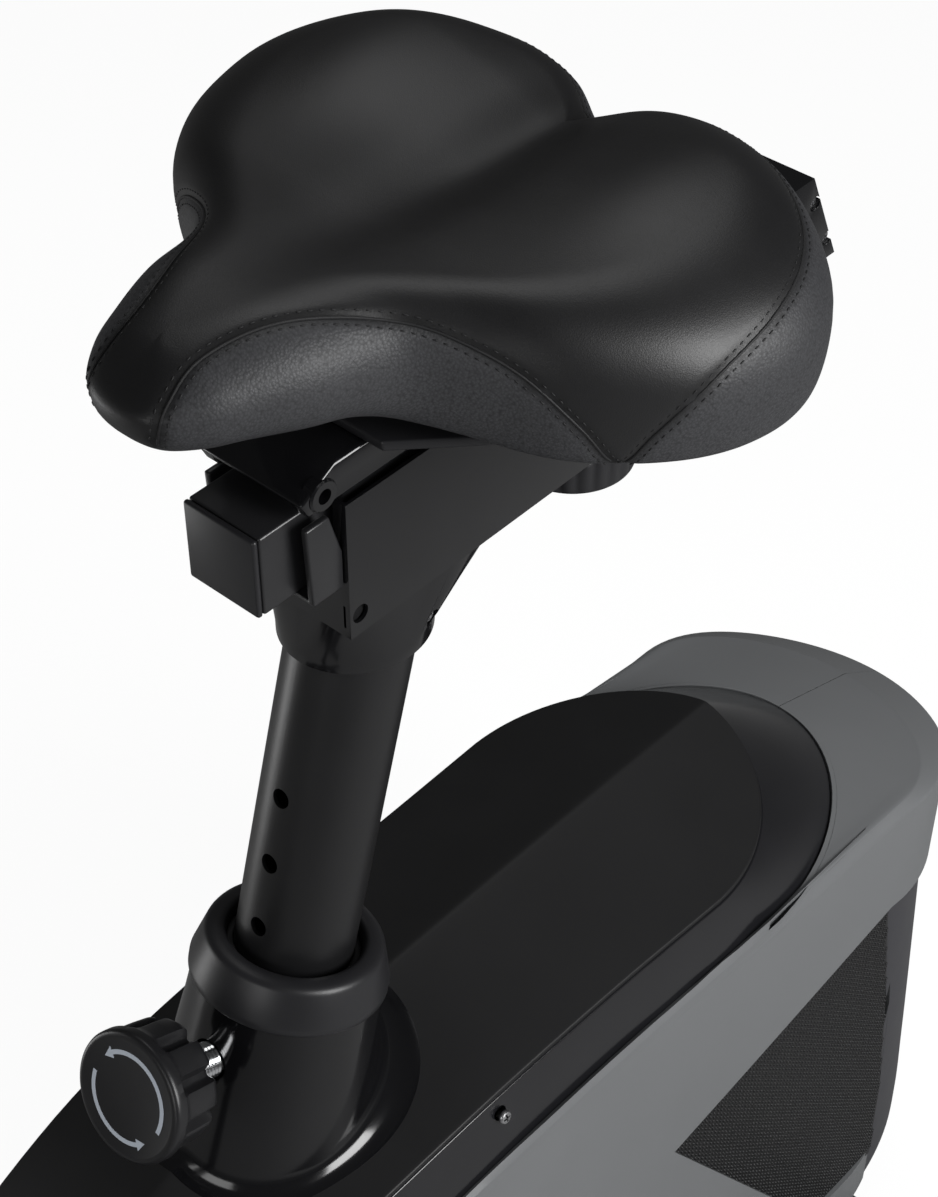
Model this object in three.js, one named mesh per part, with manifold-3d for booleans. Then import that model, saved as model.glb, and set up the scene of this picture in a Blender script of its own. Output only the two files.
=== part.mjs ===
// Upright exercise bike with a rear drive housing, a sliding saddle and a pinned seat post.
// Millimetres. +Z is up, -Y is the front of the bike, +X is the rider's left.
// The origin is on the floor, below the middle of the bike.
import * as THREE from 'three';
import { mergeVertices } from 'three/addons/utils/BufferGeometryUtils.js';
import Module from 'manifold-3d';

const wasm = await Module();
wasm.setup();

// ---------------------------------------------------------------- driving dimensions
const halfLength = 590;          // middle of the bike to its rear end, and to its front end
const gap = 0.3;                 // clearance between pieces that touch
const sides = 24;                // facets round an ordinary cylinder

const beamTop = 930;             // height of the top face of the saddle's slide beam
const beamSize = 40;             // square slide beam
const beamLength = 352;
const beamWall = 2.5;
const headWidth = 62;            // covers of the slider head, outside

const postRadius = 28.8;         // round seat post
const postWall = 2.5;
const postLean = 15.79;          // degrees that the post leans back
const postOffset = 101.3;        // where the post's axis meets the top of the slide beam
const postLength = 400;          // along the axis
const holePitch = 36.4;          // height steps of the seat post
const holeRadius = 4.8;
const firstHole = 193.7;         // first hole, down the axis from the top of the slide beam
const holeCount = 7;
const pinHole = 4;               // index of the hole that the plunger faces at rest
const pinTilt = 22;              // degrees that the plunger rises towards the front
const knobReach = 100.8;         // from the post's axis to the plunger knob's face

const collarTop = 279;           // down the post's axis
const collarHeight = 25;
const seatTubeWall = 3;
const deckHeight = 579;          // highest line of the deck cover
const deckDrop = 22;             // from the deck's middle line to its edges
const deckRadius = 88;           // half width of the deck cover
const surroundDrop = 41;         // height of the glossy surround
const surroundGrow = 10;         // how far the surround widens downwards
const shellHalf = 101;           // half width of the grey side shells at the rear
const shellWall = 3;
const seam = 2;                  // height of the seam between the surround and the grey shells
const shellBottom = 70;

const crankHeight = 330;         // crank axis above the floor
const crankLength = 170;
const crankPulleyRadius = 105;
const flywheelPulleyRadius = 30;
const flywheelRadius = 145;
const flywheelWidth = 28;
const flywheelY = 322;
const flywheelHeight = 268;
const beltPlane = -54;           // middle of the belt, across the bike
const beltWidth = 14;
const beltThickness = 3;
const mainBeamWidth = 60;
const mainBeamHeight = 40;
const mainBeamBottom = 62;
const stabiliserLength = 500;
const stabiliserRadius = 24;
const wheelRadius = 27;
const handlebarRadius = 14;
const handlebarHeight = 1150;
const handlebarHalf = 235;
const consoleWidth = 230;
const consoleDepth = 190;
const buttonRadius = 8;

// ---------------------------------------------------------------- finishes
const finishes = {
  gloss_black: [0x0d0d10, 0.12, 0],
  satin_black: [0x17171a, 0.45, 0],
  painted_black: [0x101013, 0.3, 0.2],
  grey_shell: [0x5c5d5f, 0.5, 0],
  mesh_black: [0x0b0b0c, 0.7, 0],
  saddle_vinyl: [0x141416, 0.5, 0],
  rubber_black: [0x111112, 0.85, 0],
  chrome: [0xd8dadd, 0.1, 1],
  steel: [0x9a9da2, 0.35, 1],
  iron: [0x3a3b3e, 0.5, 0.8],
  belt_rubber: [0x151515, 0.8, 0],
  screen_glass: [0x0a1016, 0.05, 0],
  button_grey: [0x8a8d91, 0.5, 0],
};

const bike = new THREE.Group();

function add(name, geometry, finish) {
  const [color, roughness, metalness] = finishes[finish];
  const mesh = new THREE.Mesh(geometry, new THREE.MeshStandardMaterial({ color, roughness, metalness }));
  mesh.name = name;
  bike.add(mesh);
  return mesh;
}

// ---------------------------------------------------------------- solids
function merged(geometry) {
  const copy = geometry.clone();
  copy.deleteAttribute('normal');
  copy.deleteAttribute('uv');
  return mergeVertices(copy, 1e-4);
}

function solid(geometry) {
  const clean = merged(geometry);
  return new wasm.Manifold(new wasm.Mesh({
    numProp: 3,
    vertProperties: new Float32Array(clean.attributes.position.array),
    triVerts: new Uint32Array(clean.index.array),
  }));
}

function geometry(manifold) {
  const mesh = manifold.getMesh();
  const result = new THREE.BufferGeometry();
  result.setAttribute('position', new THREE.BufferAttribute(new Float32Array(mesh.vertProperties), 3));
  result.setIndex(new THREE.BufferAttribute(new Uint32Array(mesh.triVerts), 1));
  return result;
}

function cut(base, ...tools) {
  return tools.reduce((result, tool) => result.subtract(tool), base);
}

function join(base, ...more) {
  return more.reduce((result, piece) => result.add(piece), base);
}

function box(x0, x1, y0, y1, z0, z1) {
  const shape = new THREE.BoxGeometry(x1 - x0, y1 - y0, z1 - z0);
  return shape.translate((x0 + x1) / 2, (y0 + y1) / 2, (z0 + z1) / 2);
}

// A round bar between two points.
function bar(from, to, radius, facets = sides) {
  const start = new THREE.Vector3(...from);
  const end = new THREE.Vector3(...to);
  const axis = end.clone().sub(start);
  const shape = new THREE.CylinderGeometry(radius, radius, axis.length(), facets);
  shape.applyQuaternion(new THREE.Quaternion().setFromUnitVectors(new THREE.Vector3(0, 1, 0), axis.normalize()));
  return shape.translate(...start.add(end).multiplyScalar(0.5).toArray());
}

// A turned piece: profile points are [radius, distance along the axis].
function turned(profile, origin, direction, facets = sides) {
  const shape = new THREE.LatheGeometry(profile.map(([r, h]) => new THREE.Vector2(r, h)), facets);
  const axis = new THREE.Vector3(...direction).normalize();
  shape.applyQuaternion(new THREE.Quaternion().setFromUnitVectors(new THREE.Vector3(0, 1, 0), axis));
  return shape.translate(...origin);
}

// A round tube or ring with a square section.
function ring(from, direction, inner, outer, length, facets = sides) {
  const profile = [[inner, 0], [outer, 0], [outer, length], [inner, length], [inner, 0]];
  return turned(profile, from, direction, facets);
}

function shapeOf(points, hole) {
  const shape = new THREE.Shape(points.map(([a, b]) => new THREE.Vector2(a, b)));
  if (hole) {
    shape.holes.push(new THREE.Path(hole.map(([a, b]) => new THREE.Vector2(a, b))));
  }
  return shape;
}

// An outline in (y, z), extruded across the bike.
function across(points, x0, x1, hole) {
  const shape = new THREE.ExtrudeGeometry(shapeOf(points, hole), { depth: x1 - x0, bevelEnabled: false });
  const turn = new THREE.Matrix4().makeBasis(
    new THREE.Vector3(0, 1, 0), new THREE.Vector3(0, 0, 1), new THREE.Vector3(1, 0, 0));
  return shape.applyMatrix4(turn).translate(x0, 0, 0);
}

// An outline in (x, z), extruded along the bike.
function along(points, y0, y1, hole) {
  const shape = new THREE.ExtrudeGeometry(shapeOf(points, hole), { depth: y1 - y0, bevelEnabled: false });
  return shape.rotateX(Math.PI / 2).translate(0, y1, 0);
}

// An outline in (x, y), extruded upwards.
function upwards(points, z0, z1, hole) {
  const shape = new THREE.ExtrudeGeometry(shapeOf(points, hole), { depth: z1 - z0, bevelEnabled: false });
  return shape.translate(0, 0, z0);
}

// A closed skin through rings of equal point count; each ring is [[x, y, z], ...].
function loft(rings) {
  const count = rings[0].length;
  const positions = rings.flat(2);
  const centre = (points) => [0, 1, 2].map((k) => points.reduce((sum, p) => sum + p[k], 0) / count);
  positions.push(...centre(rings[0]), ...centre(rings[rings.length - 1]));
  const first = rings.length * count;
  const last = first + 1;
  const faces = [];
  for (let k = 0; k < rings.length - 1; k += 1) {
    for (let i = 0; i < count; i += 1) {
      const a = k * count + i;
      const b = k * count + (i + 1) % count;
      faces.push(a, b, b + count, a, b + count, a + count);
    }
  }
  for (let i = 0; i < count; i += 1) {
    const next = (i + 1) % count;
    const top = (rings.length - 1) * count;
    faces.push(first, next, i, last, top + i, top + next);
  }
  const shape = new THREE.BufferGeometry();
  shape.setAttribute('position', new THREE.Float32BufferAttribute(positions, 3));
  shape.setIndex(faces);
  return shape;
}

function rectangle(a0, a1, b0, b1) {
  return [[a0, b0], [a1, b0], [a1, b1], [a0, b1]];
}

function circle(radius, a = 0, b = 0, facets = sides) {
  return Array.from({ length: facets }, (_, i) => {
    const angle = 2 * Math.PI * i / facets;
    return [a + radius * Math.cos(angle), b + radius * Math.sin(angle)];
  });
}

// A tube bent along a smooth path.
function bentBar(points, radius, steps, facets = 14) {
  const path = new THREE.CatmullRomCurve3(points.map((p) => new THREE.Vector3(...p)), false, 'centripetal');
  return new THREE.ExtrudeGeometry(shapeOf(circle(radius, 0, 0, facets)), { steps, extrudePath: path });
}

// A straight line through given points, read at a position.
function along1d(table, at) {
  if (at <= table[0][0]) {
    return table[0][1];
  }
  for (let i = 1; i < table.length; i += 1) {
    const [a, u] = table[i - 1];
    const [b, v] = table[i];
    if (at <= b) {
      return u + (v - u) * (at - a) / (b - a);
    }
  }
  return table[table.length - 1][1];
}

// ---------------------------------------------------------------- the seat post's axis
const lean = THREE.MathUtils.degToRad(postLean);
const postUp = [0, Math.sin(lean), Math.cos(lean)];

// A point on the post's axis, a distance down from the slide beam's top.
function onPost(distance) {
  return [0, postOffset - distance * Math.sin(lean), beamTop - distance * Math.cos(lean)];
}

function downPostAt(height) {
  return (beamTop - height) / Math.cos(lean);
}

const crankY = onPost(downPostAt(crankHeight))[1];
const pinDistance = firstHole + pinHole * holePitch;
const pinDirection = [0, -Math.cos(THREE.MathUtils.degToRad(pinTilt)), Math.sin(THREE.MathUtils.degToRad(pinTilt))];

// A point on the plunger's axis, a distance out from the post's axis.
function onPin(distance) {
  const start = onPost(pinDistance);
  return start.map((value, k) => value + pinDirection[k] * distance);
}

// ---------------------------------------------------------------- slide beam and saddle
const beamHalf = beamSize / 2;
const headHalf = headWidth / 2;
const capThickness = 3;
const railWall = 3;
const railClearance = 0.5;
const railInner = beamHalf + railClearance;
const railOuter = railInner + railWall;
const railFront = 46;
const railRear = 240;
const lipInner = 12;
const beamBottom = beamTop - beamSize;
const railBottom = beamBottom - gap - railWall;
const rearCoverFront = 322;

function slideBeam() {
  const outer = rectangle(-beamHalf, beamHalf, beamBottom, beamTop);
  const inner = rectangle(-beamHalf + beamWall, beamHalf - beamWall, beamBottom + beamWall, beamTop - beamWall);
  add('slide_beam', along(outer, capThickness + gap, beamLength, inner), 'painted_black');

  const plug = beamHalf - beamWall - gap;
  const middle = beamTop - beamHalf;
  const plate = box(-beamHalf, beamHalf, 0, capThickness, beamBottom, beamTop);
  const stub = box(-plug, plug, capThickness - 1, capThickness + 14, middle - plug, middle + plug);
  add('beam_front_cap', geometry(join(solid(plate), solid(stub))), 'satin_black');

  const outline = [
    [rearCoverFront, beamTop - 51], [beamLength + 27, beamTop - 51],
    [beamLength + 2, beamTop + 2.5], [rearCoverFront, beamTop + 2.5],
  ];
  const pocket = box(-beamHalf - gap, beamHalf + gap, rearCoverFront - 1, beamLength + gap,
    beamBottom - gap, beamTop + gap);
  const screwHole = (y, z) => solid(bar([headHalf - 3, y, z], [headHalf + 1, y, z], 4, 12));
  const shell = cut(solid(across(outline, -headHalf, headHalf)), solid(pocket),
    screwHole(beamLength + 5, beamTop - 13), screwHole(beamLength + 19, beamTop - 39));
  add('beam_rear_cover', geometry(shell), 'satin_black');
}

const coverFront = 18;
const coverRear = 245;
const coverBottom = beamTop + 4;
const coverTop = beamTop + 23;
const coverWall = 3;
const coverHalf = headHalf - 2;
const earHeight = coverBottom + 7;

function saddleCarriage() {
  const outline = [
    [coverFront + 4, coverBottom], [coverRear, coverBottom], [coverRear, coverTop],
    [coverFront + 20, coverTop], [coverFront, coverBottom + 8],
  ];
  const cavity = box(-coverHalf + coverWall, coverHalf - coverWall, coverFront + 24, coverRear + 1,
    coverBottom - 1, coverTop - coverWall);
  const nose = box(-railInner, railInner, coverFront - 1, coverFront + 25, coverBottom - 1, coverBottom + 5);
  const earY = coverFront + 12;
  const earHole = bar([coverHalf - 8, earY, earHeight], [coverHalf + 1, earY, earHeight], 3.5, 14);
  const cover = cut(solid(across(outline, -coverHalf, coverHalf)), solid(cavity), solid(nose), solid(earHole));
  add('beam_cover', geometry(cover), 'gloss_black');

  const stem = box(-lipInner + 1, lipInner - 1, 70, 215, beamTop + gap, coverBottom + 3);
  const plate = box(-coverHalf + coverWall + 1, coverHalf - coverWall - 1, 70, 215,
    coverBottom + 2, coverTop - coverWall - gap);
  add('saddle_bracket', geometry(join(solid(stem), solid(plate))), 'steel');
}

const saddleFront = -44;
const saddleRear = 262;
const saddleHalf = 152;
const saddleNoseLift = 30;       // how much higher the nose's underside is
const panBottom = coverTop + gap;
const panThickness = 5;
const saddleBottom = panBottom + panThickness + gap;
const saddleTop = beamTop + 105;

// Half width of the saddle, as a share of saddleHalf, at shares of its length.
const saddleOutline = [
  [0, 0.1], [0.02, 0.17], [0.06, 0.2], [0.12, 0.25], [0.19, 0.3], [0.26, 0.34], [0.32, 0.41], [0.366, 0.55],
  [0.418, 0.71], [0.477, 0.83], [0.549, 0.92], [0.627, 0.98], [0.7, 1], [0.765, 0.97], [0.83, 0.9], [0.895, 0.75],
  [0.948, 0.59], [0.984, 0.36], [1, 0.2],
];

function saddleWidthAt(share) {
  return saddleHalf * along1d(saddleOutline, share);
}

function padRings(stations, widthAt, bottomAt, topAt, facets) {
  return stations.map((share) => {
    const y = saddleFront + (saddleRear - saddleFront) * share;
    const half = widthAt(share);
    const low = bottomAt(share);
    const high = topAt(share);
    return Array.from({ length: facets }, (_, i) => {
      const angle = 2 * Math.PI * i / facets;
      const c = Math.cos(angle);
      const s = Math.sin(angle);
      const x = half * Math.sign(c) * Math.abs(c) ** 0.6;
      const z = (low + high) / 2 + (high - low) / 2 * Math.sign(s) * Math.abs(s) ** 0.6;
      return [x, y, z];
    });
  });
}

function saddle() {
  const facets = 28;
  const stations = saddleOutline.map(([share]) => share);
  const ends = (share) => Math.min(1, Math.min(share + 0.02, 1.03 - share) * 12);
  const top = (share) => saddleBottom + 12 + (saddleTop - saddleBottom - 12) * (0.55 + 0.45 * ends(share))
    * (0.84 + 0.16 * share);
  const bottom = (share) => saddleBottom + saddleNoseLift * Math.max(0, 1 - share / 0.45);
  const rings = padRings(stations, saddleWidthAt, bottom, top, facets);
  add('saddle_cushion', loft(rings.map((points) => points.reverse())), 'saddle_vinyl');

  const panHalf = 0.62;
  const outline = saddleOutline.filter(([share]) => share > 0.3 && share < 0.95);
  const place = (share) => saddleFront + (saddleRear - saddleFront) * share;
  const left = outline.map(([share, width]) => [width * saddleHalf * panHalf, place(share)]);
  const right = outline.map(([share, width]) => [-width * saddleHalf * panHalf, place(share)]).reverse();
  add('saddle_pan', upwards([...left, ...right], panBottom, panBottom + panThickness), 'satin_black');
}

// ---------------------------------------------------------------- slider head on the post
const cowlBottom = beamTop - 107;
const cowlRing = postRadius + 5.2;
const cowlWall = 1.8;
const cowlRailBottom = beamTop - 72;

function roundedSection(halfX, y0, y1, z, power, facets) {
  return Array.from({ length: facets }, (_, i) => {
    const angle = 2 * Math.PI * i / facets;
    const c = Math.cos(angle);
    const s = Math.sin(angle);
    const x = halfX * Math.sign(c) * Math.abs(c) ** power;
    const y = (y0 + y1) / 2 + (y1 - y0) / 2 * Math.sign(s) * Math.abs(s) ** power;
    return [x, y, z];
  });
}

// The cowl's outside, drawn in by a wall for its inside.
function cowlBody(inset, extra) {
  const facets = 28;
  const ringY = onPost(downPostAt(cowlBottom + 3))[1];
  const stretch = 1.5;
  const r = cowlRing - inset;
  const half = headHalf - inset;
  const front = railFront - 6 + inset;
  const funnel = loft([
    roundedSection(r, ringY - r - stretch, ringY + r + stretch, cowlBottom - extra, 1, facets),
    roundedSection(r, ringY - r - stretch, ringY + r + stretch, cowlBottom + 6, 1, facets),
    roundedSection(half, front, 128 - inset, cowlRailBottom + inset, 0.55, facets),
    roundedSection(half, front, 150 - inset, beamTop + extra, 0.4, facets),
  ]);
  const rail = box(-half, half, front, coverRear - inset, cowlRailBottom + inset, beamTop + extra);
  return join(solid(funnel), solid(rail));
}

function sliderHead() {
  const channel = [
    [-railOuter, railBottom], [railOuter, railBottom], [railOuter, beamTop + gap + railWall],
    [lipInner, beamTop + gap + railWall], [lipInner, beamTop + gap], [railInner, beamTop + gap],
    [railInner, beamBottom - gap], [-railInner, beamBottom - gap], [-railInner, beamTop + gap],
    [-lipInner, beamTop + gap], [-lipInner, beamTop + gap + railWall], [-railOuter, beamTop + gap + railWall],
  ];
  const lockHole = bar([0, lockY, railBottom - 1], [0, lockY, beamBottom], lockBoltRadius + 0.5, 16);
  add('head_rail', geometry(cut(solid(along(channel, railFront, railRear)), solid(lockHole))), 'painted_black');

  const outer = cowlBody(0, 0);
  const inner = cowlBody(cowlWall, 3);
  const boltHole = bar([0, lockY, cowlRailBottom - 2], [0, lockY, railBottom], lockBoltRadius + 2, 16);
  const sideHole = (y, z) => solid(bar([headHalf - 5, y, z], [headHalf + 3, y, z], 4.5, 14));
  const passage = box(-railOuter - gap, railOuter + gap, 0, coverRear + 5, railBottom - gap, beamTop + 20);
  const sideHoles = [sideHole(46, beamTop - 61), sideHole(88, beamTop - 92)];
  const cowl = cut(outer, inner, solid(boltHole), solid(passage), ...sideHoles);
  add('lower_cowl', geometry(cowl), 'gloss_black');

  const flapOuter = headHalf - 2;
  const flapInner = railOuter + 2;
  const flap = [[20, beamTop - 2], [33, beamTop - 2], [39.5, beamTop - 24], [39.5, beamTop - 43], [22, beamTop - 43]];
  const outline = solid(across(flap, -flapOuter, flapOuter));
  const slot = solid(box(-flapInner, flapInner, 10, 60, beamBottom - 1, beamTop + 5));
  add('front_bracket', geometry(outline.subtract(slot)), 'painted_black');
}

// ---------------------------------------------------------------- slide lock under the saddle
const lockY = 219;
const lockBoltRadius = 5;
const lockKnobRadius = 31;
const lockKnobBottom = beamTop - 98;
const lockKnobTop = cowlRailBottom - 5;

function slideLock() {
  const start = [0, lockY, lockKnobBottom];
  const profile = [
    [0, 0], [lockKnobRadius - 4, 0], [lockKnobRadius, 4], [lockKnobRadius, lockKnobTop - lockKnobBottom - 4],
    [lockKnobRadius - 4, lockKnobTop - lockKnobBottom], [0, lockKnobTop - lockKnobBottom],
  ];
  const stud = bar([0, lockY, lockKnobTop - 1], [0, lockY, beamBottom - 2 * gap], lockBoltRadius, 16);
  add('slide_lock_knob', geometry(join(solid(turned(profile, start, [0, 0, 1], 32)), solid(stud))), 'satin_black');
}

// ---------------------------------------------------------------- seat post, sleeve, collar and plunger
const seatTubeInner = postRadius + gap;
const seatTubeOuter = seatTubeInner + seatTubeWall;
const bracketShellOuter = 27;
const seatTubeBottom = downPostAt(crankHeight) - bracketShellOuter - 1;

function seatPost() {
  const start = onPost(postLength + 30);
  const tube = solid(ring(start, postUp, postRadius - postWall, postRadius, postLength + 30, 32));
  const above = solid(box(-60, 60, -100, 300, railBottom - gap, beamTop + 200));
  const holes = Array.from({ length: holeCount }, (_, i) => {
    const centre = onPost(firstHole + i * holePitch);
    const front = centre.map((value, k) => value + 45 * pinDirection[k]);
    return solid(bar(centre, front, holeRadius, 14));
  });
  add('seat_post', geometry(cut(tube, above, ...holes)), 'satin_black');
}

const pinRadius = 4;
const bushInner = pinRadius + 0.2;
const bushOuter = 9;
const pinTip = postRadius + 1;
const knobRadius = 32.2;
const knobDepth = 30;

function seatTube() {
  const bottom = onPost(seatTubeBottom);
  const length = seatTubeBottom - collarTop - 7;
  const tube = solid(ring(bottom, postUp, seatTubeInner, seatTubeOuter, length, 32));
  const hole = solid(bar(onPin(postRadius - 6), onPin(seatTubeOuter + 12), bushOuter + gap, 20));
  add('seat_tube', geometry(tube.subtract(hole)), 'painted_black');
}

function collar() {
  const rimRadius = 41.7;
  const baseRadius = 48.2;
  const inner = seatTubeOuter + gap;
  const lip = seatTubeInner + 1.9;
  const profile = [
    [inner, 0], [baseRadius - 2, 0], [baseRadius, 2], [baseRadius, 7], [rimRadius, collarHeight - 3],
    [rimRadius - 3, collarHeight], [lip, collarHeight], [lip, collarHeight - 6], [inner, collarHeight - 6.2],
    [inner, 0],
  ];
  add('post_collar', turned(profile, onPost(collarTop + collarHeight), postUp, 32), 'satin_black');
}

function plunger() {
  const bushLength = knobReach - knobDepth - postRadius - 8;
  const bush = ring(onPin(postRadius + 3), pinDirection, bushInner, bushOuter, bushLength, 20);
  add('plunger_bush', bush, 'chrome');
  const pin = bar(onPin(pinTip), onPin(knobReach - 6), pinRadius, 16);
  add('plunger_pin', pin, 'steel');
  const flutes = 8;
  const outline = Array.from({ length: 40 }, (_, i) => {
    const angle = 2 * Math.PI * i / 40;
    const r = knobRadius - 1.6 * Math.max(0, -Math.cos(flutes * angle)) ** 0.5;
    return [r * Math.cos(angle), r * Math.sin(angle)];
  });
  const body = new THREE.ExtrudeGeometry(shapeOf(outline), {
    depth: knobDepth - 6, bevelEnabled: true, bevelThickness: 3, bevelSize: 3, bevelOffset: -3, bevelSegments: 1,
  });
  body.translate(0, 0, -knobDepth + 3);
  body.applyQuaternion(new THREE.Quaternion().setFromUnitVectors(
    new THREE.Vector3(0, 0, 1), new THREE.Vector3(...pinDirection)));
  body.translate(...onPin(knobReach));
  const bore = bar(onPin(knobReach - knobDepth - 1), onPin(knobReach - 5), pinRadius + gap, 16);
  add('plunger_knob', geometry(solid(body).subtract(solid(bore))), 'satin_black');
}

// ---------------------------------------------------------------- drive housing
// Highest line of the deck over the length of the housing: [y, drop below deckHeight].
const deckLine = [
  [-330, 190], [-280, 138], [-200, 78], [-120, 34], [-60, 14], [0, 4], [87, 0], [250, 3], [351, 7],
];
const deckFront = -316;
const deckRear = 351;
const deckArc = 100;             // length of the deck's rounded rear
const surroundRear = 78;         // how much further back the surround's foot reaches
const surroundArc = 148;
const deckThickness = 4;
const surroundWall = 3;
const shellFront = -336;
const capCentre = 430;
const capRear = 545;
const shelfRear = 504;
const rearCoverInset = 4;
const rearCoverTop = 532;

// Half width of the grey shells over their length, as a share of shellHalf.
const shellShares = [
  [-336, 0.34], [-325, 0.52], [-300, 0.66], [-250, 0.78], [-150, 0.86], [0, 0.92], [150, 0.95], [300, 0.98], [430, 1],
];
// The same for the deck, as a share of deckRadius.
const deckShares = [
  [-316, 0.34], [-305, 0.5], [-280, 0.64], [-230, 0.76], [-150, 0.85], [0, 0.935], [160, 0.965], [251, 1],
];

const stations = [0, 0.02, 0.06, 0.12, 0.2, 0.3, 0.42, 0.52, 0.62, 0.8, 1];
const arcSteps = 14;

function lineAt(y) {
  return deckHeight - along1d(deckLine, y);
}

// A closed outline round the housing: straight-sided, with a rounded rear. Its height follows a rule of y.
// inset draws the outline in and leaves its heights as they are.
function housingRing(halfAt, front, centre, rear, heightAt, inset = 0) {
  const left = stations.map((share, i) => {
    const y = front + (centre - front) * share;
    return [halfAt(y) - inset, i === 0 ? y + inset : Math.max(y, front + inset + i), heightAt(y)];
  });
  const round = Array.from({ length: arcSteps - 1 }, (_, i) => {
    const angle = Math.PI * (i + 1) / arcSteps;
    const reach = Math.sin(angle);
    const x = (halfAt(centre) - inset) * Math.cos(angle);
    return [x, centre + (rear - inset - centre) * reach, heightAt(centre + (rear - centre) * reach)];
  });
  const right = left.map(([x, y, z]) => [-x, y, z]).reverse();
  return [...left, ...round, ...right];
}

function shellHalfAt(y) {
  return shellHalf * along1d(shellShares, y);
}

function deckHalfAt(y) {
  return deckRadius * along1d(deckShares, y);
}

function creaseAt(y) {
  const drop = along1d([[-336, 4], [46, 5], [300, 14], [422, 16], [545, 52]], y);
  return lineAt(y) - deckDrop - surroundDrop - drop;
}

function shelfAt(y) {
  const drop = along1d([[-336, 1], [46, 2], [300, 4], [430, 11], [504, 25]], y);
  return lineAt(y) - deckDrop - surroundDrop - drop;
}

function borderAt(y) {
  return lineAt(y) - deckDrop - surroundDrop;
}

// The foot of the glossy surround; inset draws it in, and shift lowers it.
function borderRing(inset, shift) {
  const half = (y) => deckHalfAt(y - 10) + surroundGrow;
  const rear = deckRear + surroundRear;
  return housingRing(half, deckFront - surroundGrow, rear - surroundArc, rear, (y) => borderAt(y) - shift, inset);
}

function edgeRing(inset, shift) {
  return housingRing(deckHalfAt, deckFront, deckRear - deckArc, deckRear, (y) => lineAt(y) - shift, inset);
}

// The outside of both grey shells together; inset gives the inside.
function shellBlock(inset, bottom) {
  const shelfHalf = (y) => shellHalfAt(y) - 5;
  return solid(loft([
    housingRing(shellHalfAt, shellFront, capCentre, capRear, () => bottom, inset),
    housingRing(shellHalfAt, shellFront, capCentre, capRear, (y) => creaseAt(y) - inset, inset),
    housingRing(shelfHalf, shellFront + 4, capCentre - 8, shelfRear, (y) => shelfAt(y) - inset, inset),
    borderRing(3 * inset + 1, inset + seam), borderRing(3 * inset + 14, inset + seam),
  ]));
}

// A roof-shaped block whose ridge follows the deck's line.
function deckBlock(drop) {
  const wide = 130;
  const fall = deckDrop * wide / deckRadius;
  const rings = [...deckLine, [deckRear + 100, 14]].map(([y, low]) => {
    const z = deckHeight - low - drop;
    const place = y === -330 ? -380 : y;
    return [[0, place, 0], [wide, place, 0], [wide, place, z - fall], [0, place, z], [-wide, place, z - fall],
      [-wide, place, 0]];
  });
  return solid(loft(rings.map((points) => points.reverse())));
}

const deckHole = seatTubeOuter + 3;

function postCutter(radius, from, to) {
  return solid(bar(onPost(from), onPost(to), radius, 32));
}

function deck() {
  const plan = solid(loft([edgeRing(0, 120), edgeRing(0, -90)]));
  const shell = plan.intersect(deckBlock(0)).subtract(deckBlock(deckThickness));
  add('deck_cover', geometry(shell.subtract(postCutter(deckHole, 250, 560))), 'satin_black');
}

// The surround as a full block, taken wider by grow and lower by shift.
function surroundBlock(grow, shift) {
  return solid(loft([
    borderRing(14, shift), borderRing(-grow, shift), edgeRing(-grow, deckDrop + shift), edgeRing(-grow, -90),
  ]));
}

function surround() {
  const outer = surroundBlock(0, 0);
  const inner = solid(loft([
    borderRing(surroundWall, 5), edgeRing(surroundWall, deckDrop + 5), edgeRing(surroundWall, -40),
  ]));
  const roof = deckBlock(deckThickness + gap);
  const body = outer.intersect(roof).subtract(inner.intersect(deckBlock(deckThickness + gap + surroundWall)));
  add('deck_surround', geometry(body.subtract(postCutter(deckHole, 250, 560))), 'gloss_black');
}

// The window in each grey shell and the zone of the dark rear cover, as (y, height) outlines.
const windowOutline = [[217, 369], [425, 407], [447, 290], [461, 180], [464, 110], [390, 110]];
const grilleLap = 5;
const grilleWall = 2;

function rearZone(grow) {
  return [
    [425 - grow, 407 + grow], [560, 383 + grow], [700, 360 + grow], [700, 0], [466 - grow, 0],
    [464 - grow, 110], [461 - grow, 180], [447 - grow, 290],
  ];
}

function grownWindow(lap) {
  return [[217 - 2 * lap, 369], [425 - 4 * gap, 407 + lap], [447 - 4 * gap, 290], [461 - 4 * gap, 180],
    [464 - 4 * gap, 110 - lap], [390 - lap, 110 - lap]];
}

function sideOf(left) {
  return solid(left ? box(gap / 2, 300, -700, 700, -50, 900) : box(-300, -gap / 2, -700, 700, -50, 900));
}

function shells() {
  const outer = shellBlock(0, shellBottom);
  const inner = shellBlock(shellWall, shellBottom - 10);
  const opening = solid(loft([borderRing(surroundWall + 2, 60), borderRing(surroundWall + 2, -40)]));
  const zone = solid(across(rearZone(gap), -300, 300));
  const window = solid(across(windowOutline, -300, 300));
  const beamNotch = solid(box(-mainBeamWidth / 2 - 2, mainBeamWidth / 2 + 2, -400, -250, 0,
    mainBeamBottom + mainBeamHeight + 2));
  const crankHole = solid(bar([-200, crankY, crankHeight], [200, crankY, crankHeight], 24, 32));
  const shell = cut(outer, inner, opening, surroundBlock(2, 4 * gap), zone, window, beamNotch, crankHole);
  const skin = shellBlock(shellWall + gap, shellBottom - 10).subtract(
    shellBlock(shellWall + gap + grilleWall, shellBottom - 20));
  const grille = solid(across(grownWindow(grilleLap), -300, 300)).intersect(skin);
  [['left', true], ['right', false]].forEach(([side, left]) => {
    add(`side_shell_${side}`, geometry(shell.intersect(sideOf(left))), 'grey_shell');
    add(`mesh_grille_${side}`, geometry(grille.intersect(sideOf(left))), 'mesh_black');
  });
}

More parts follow.
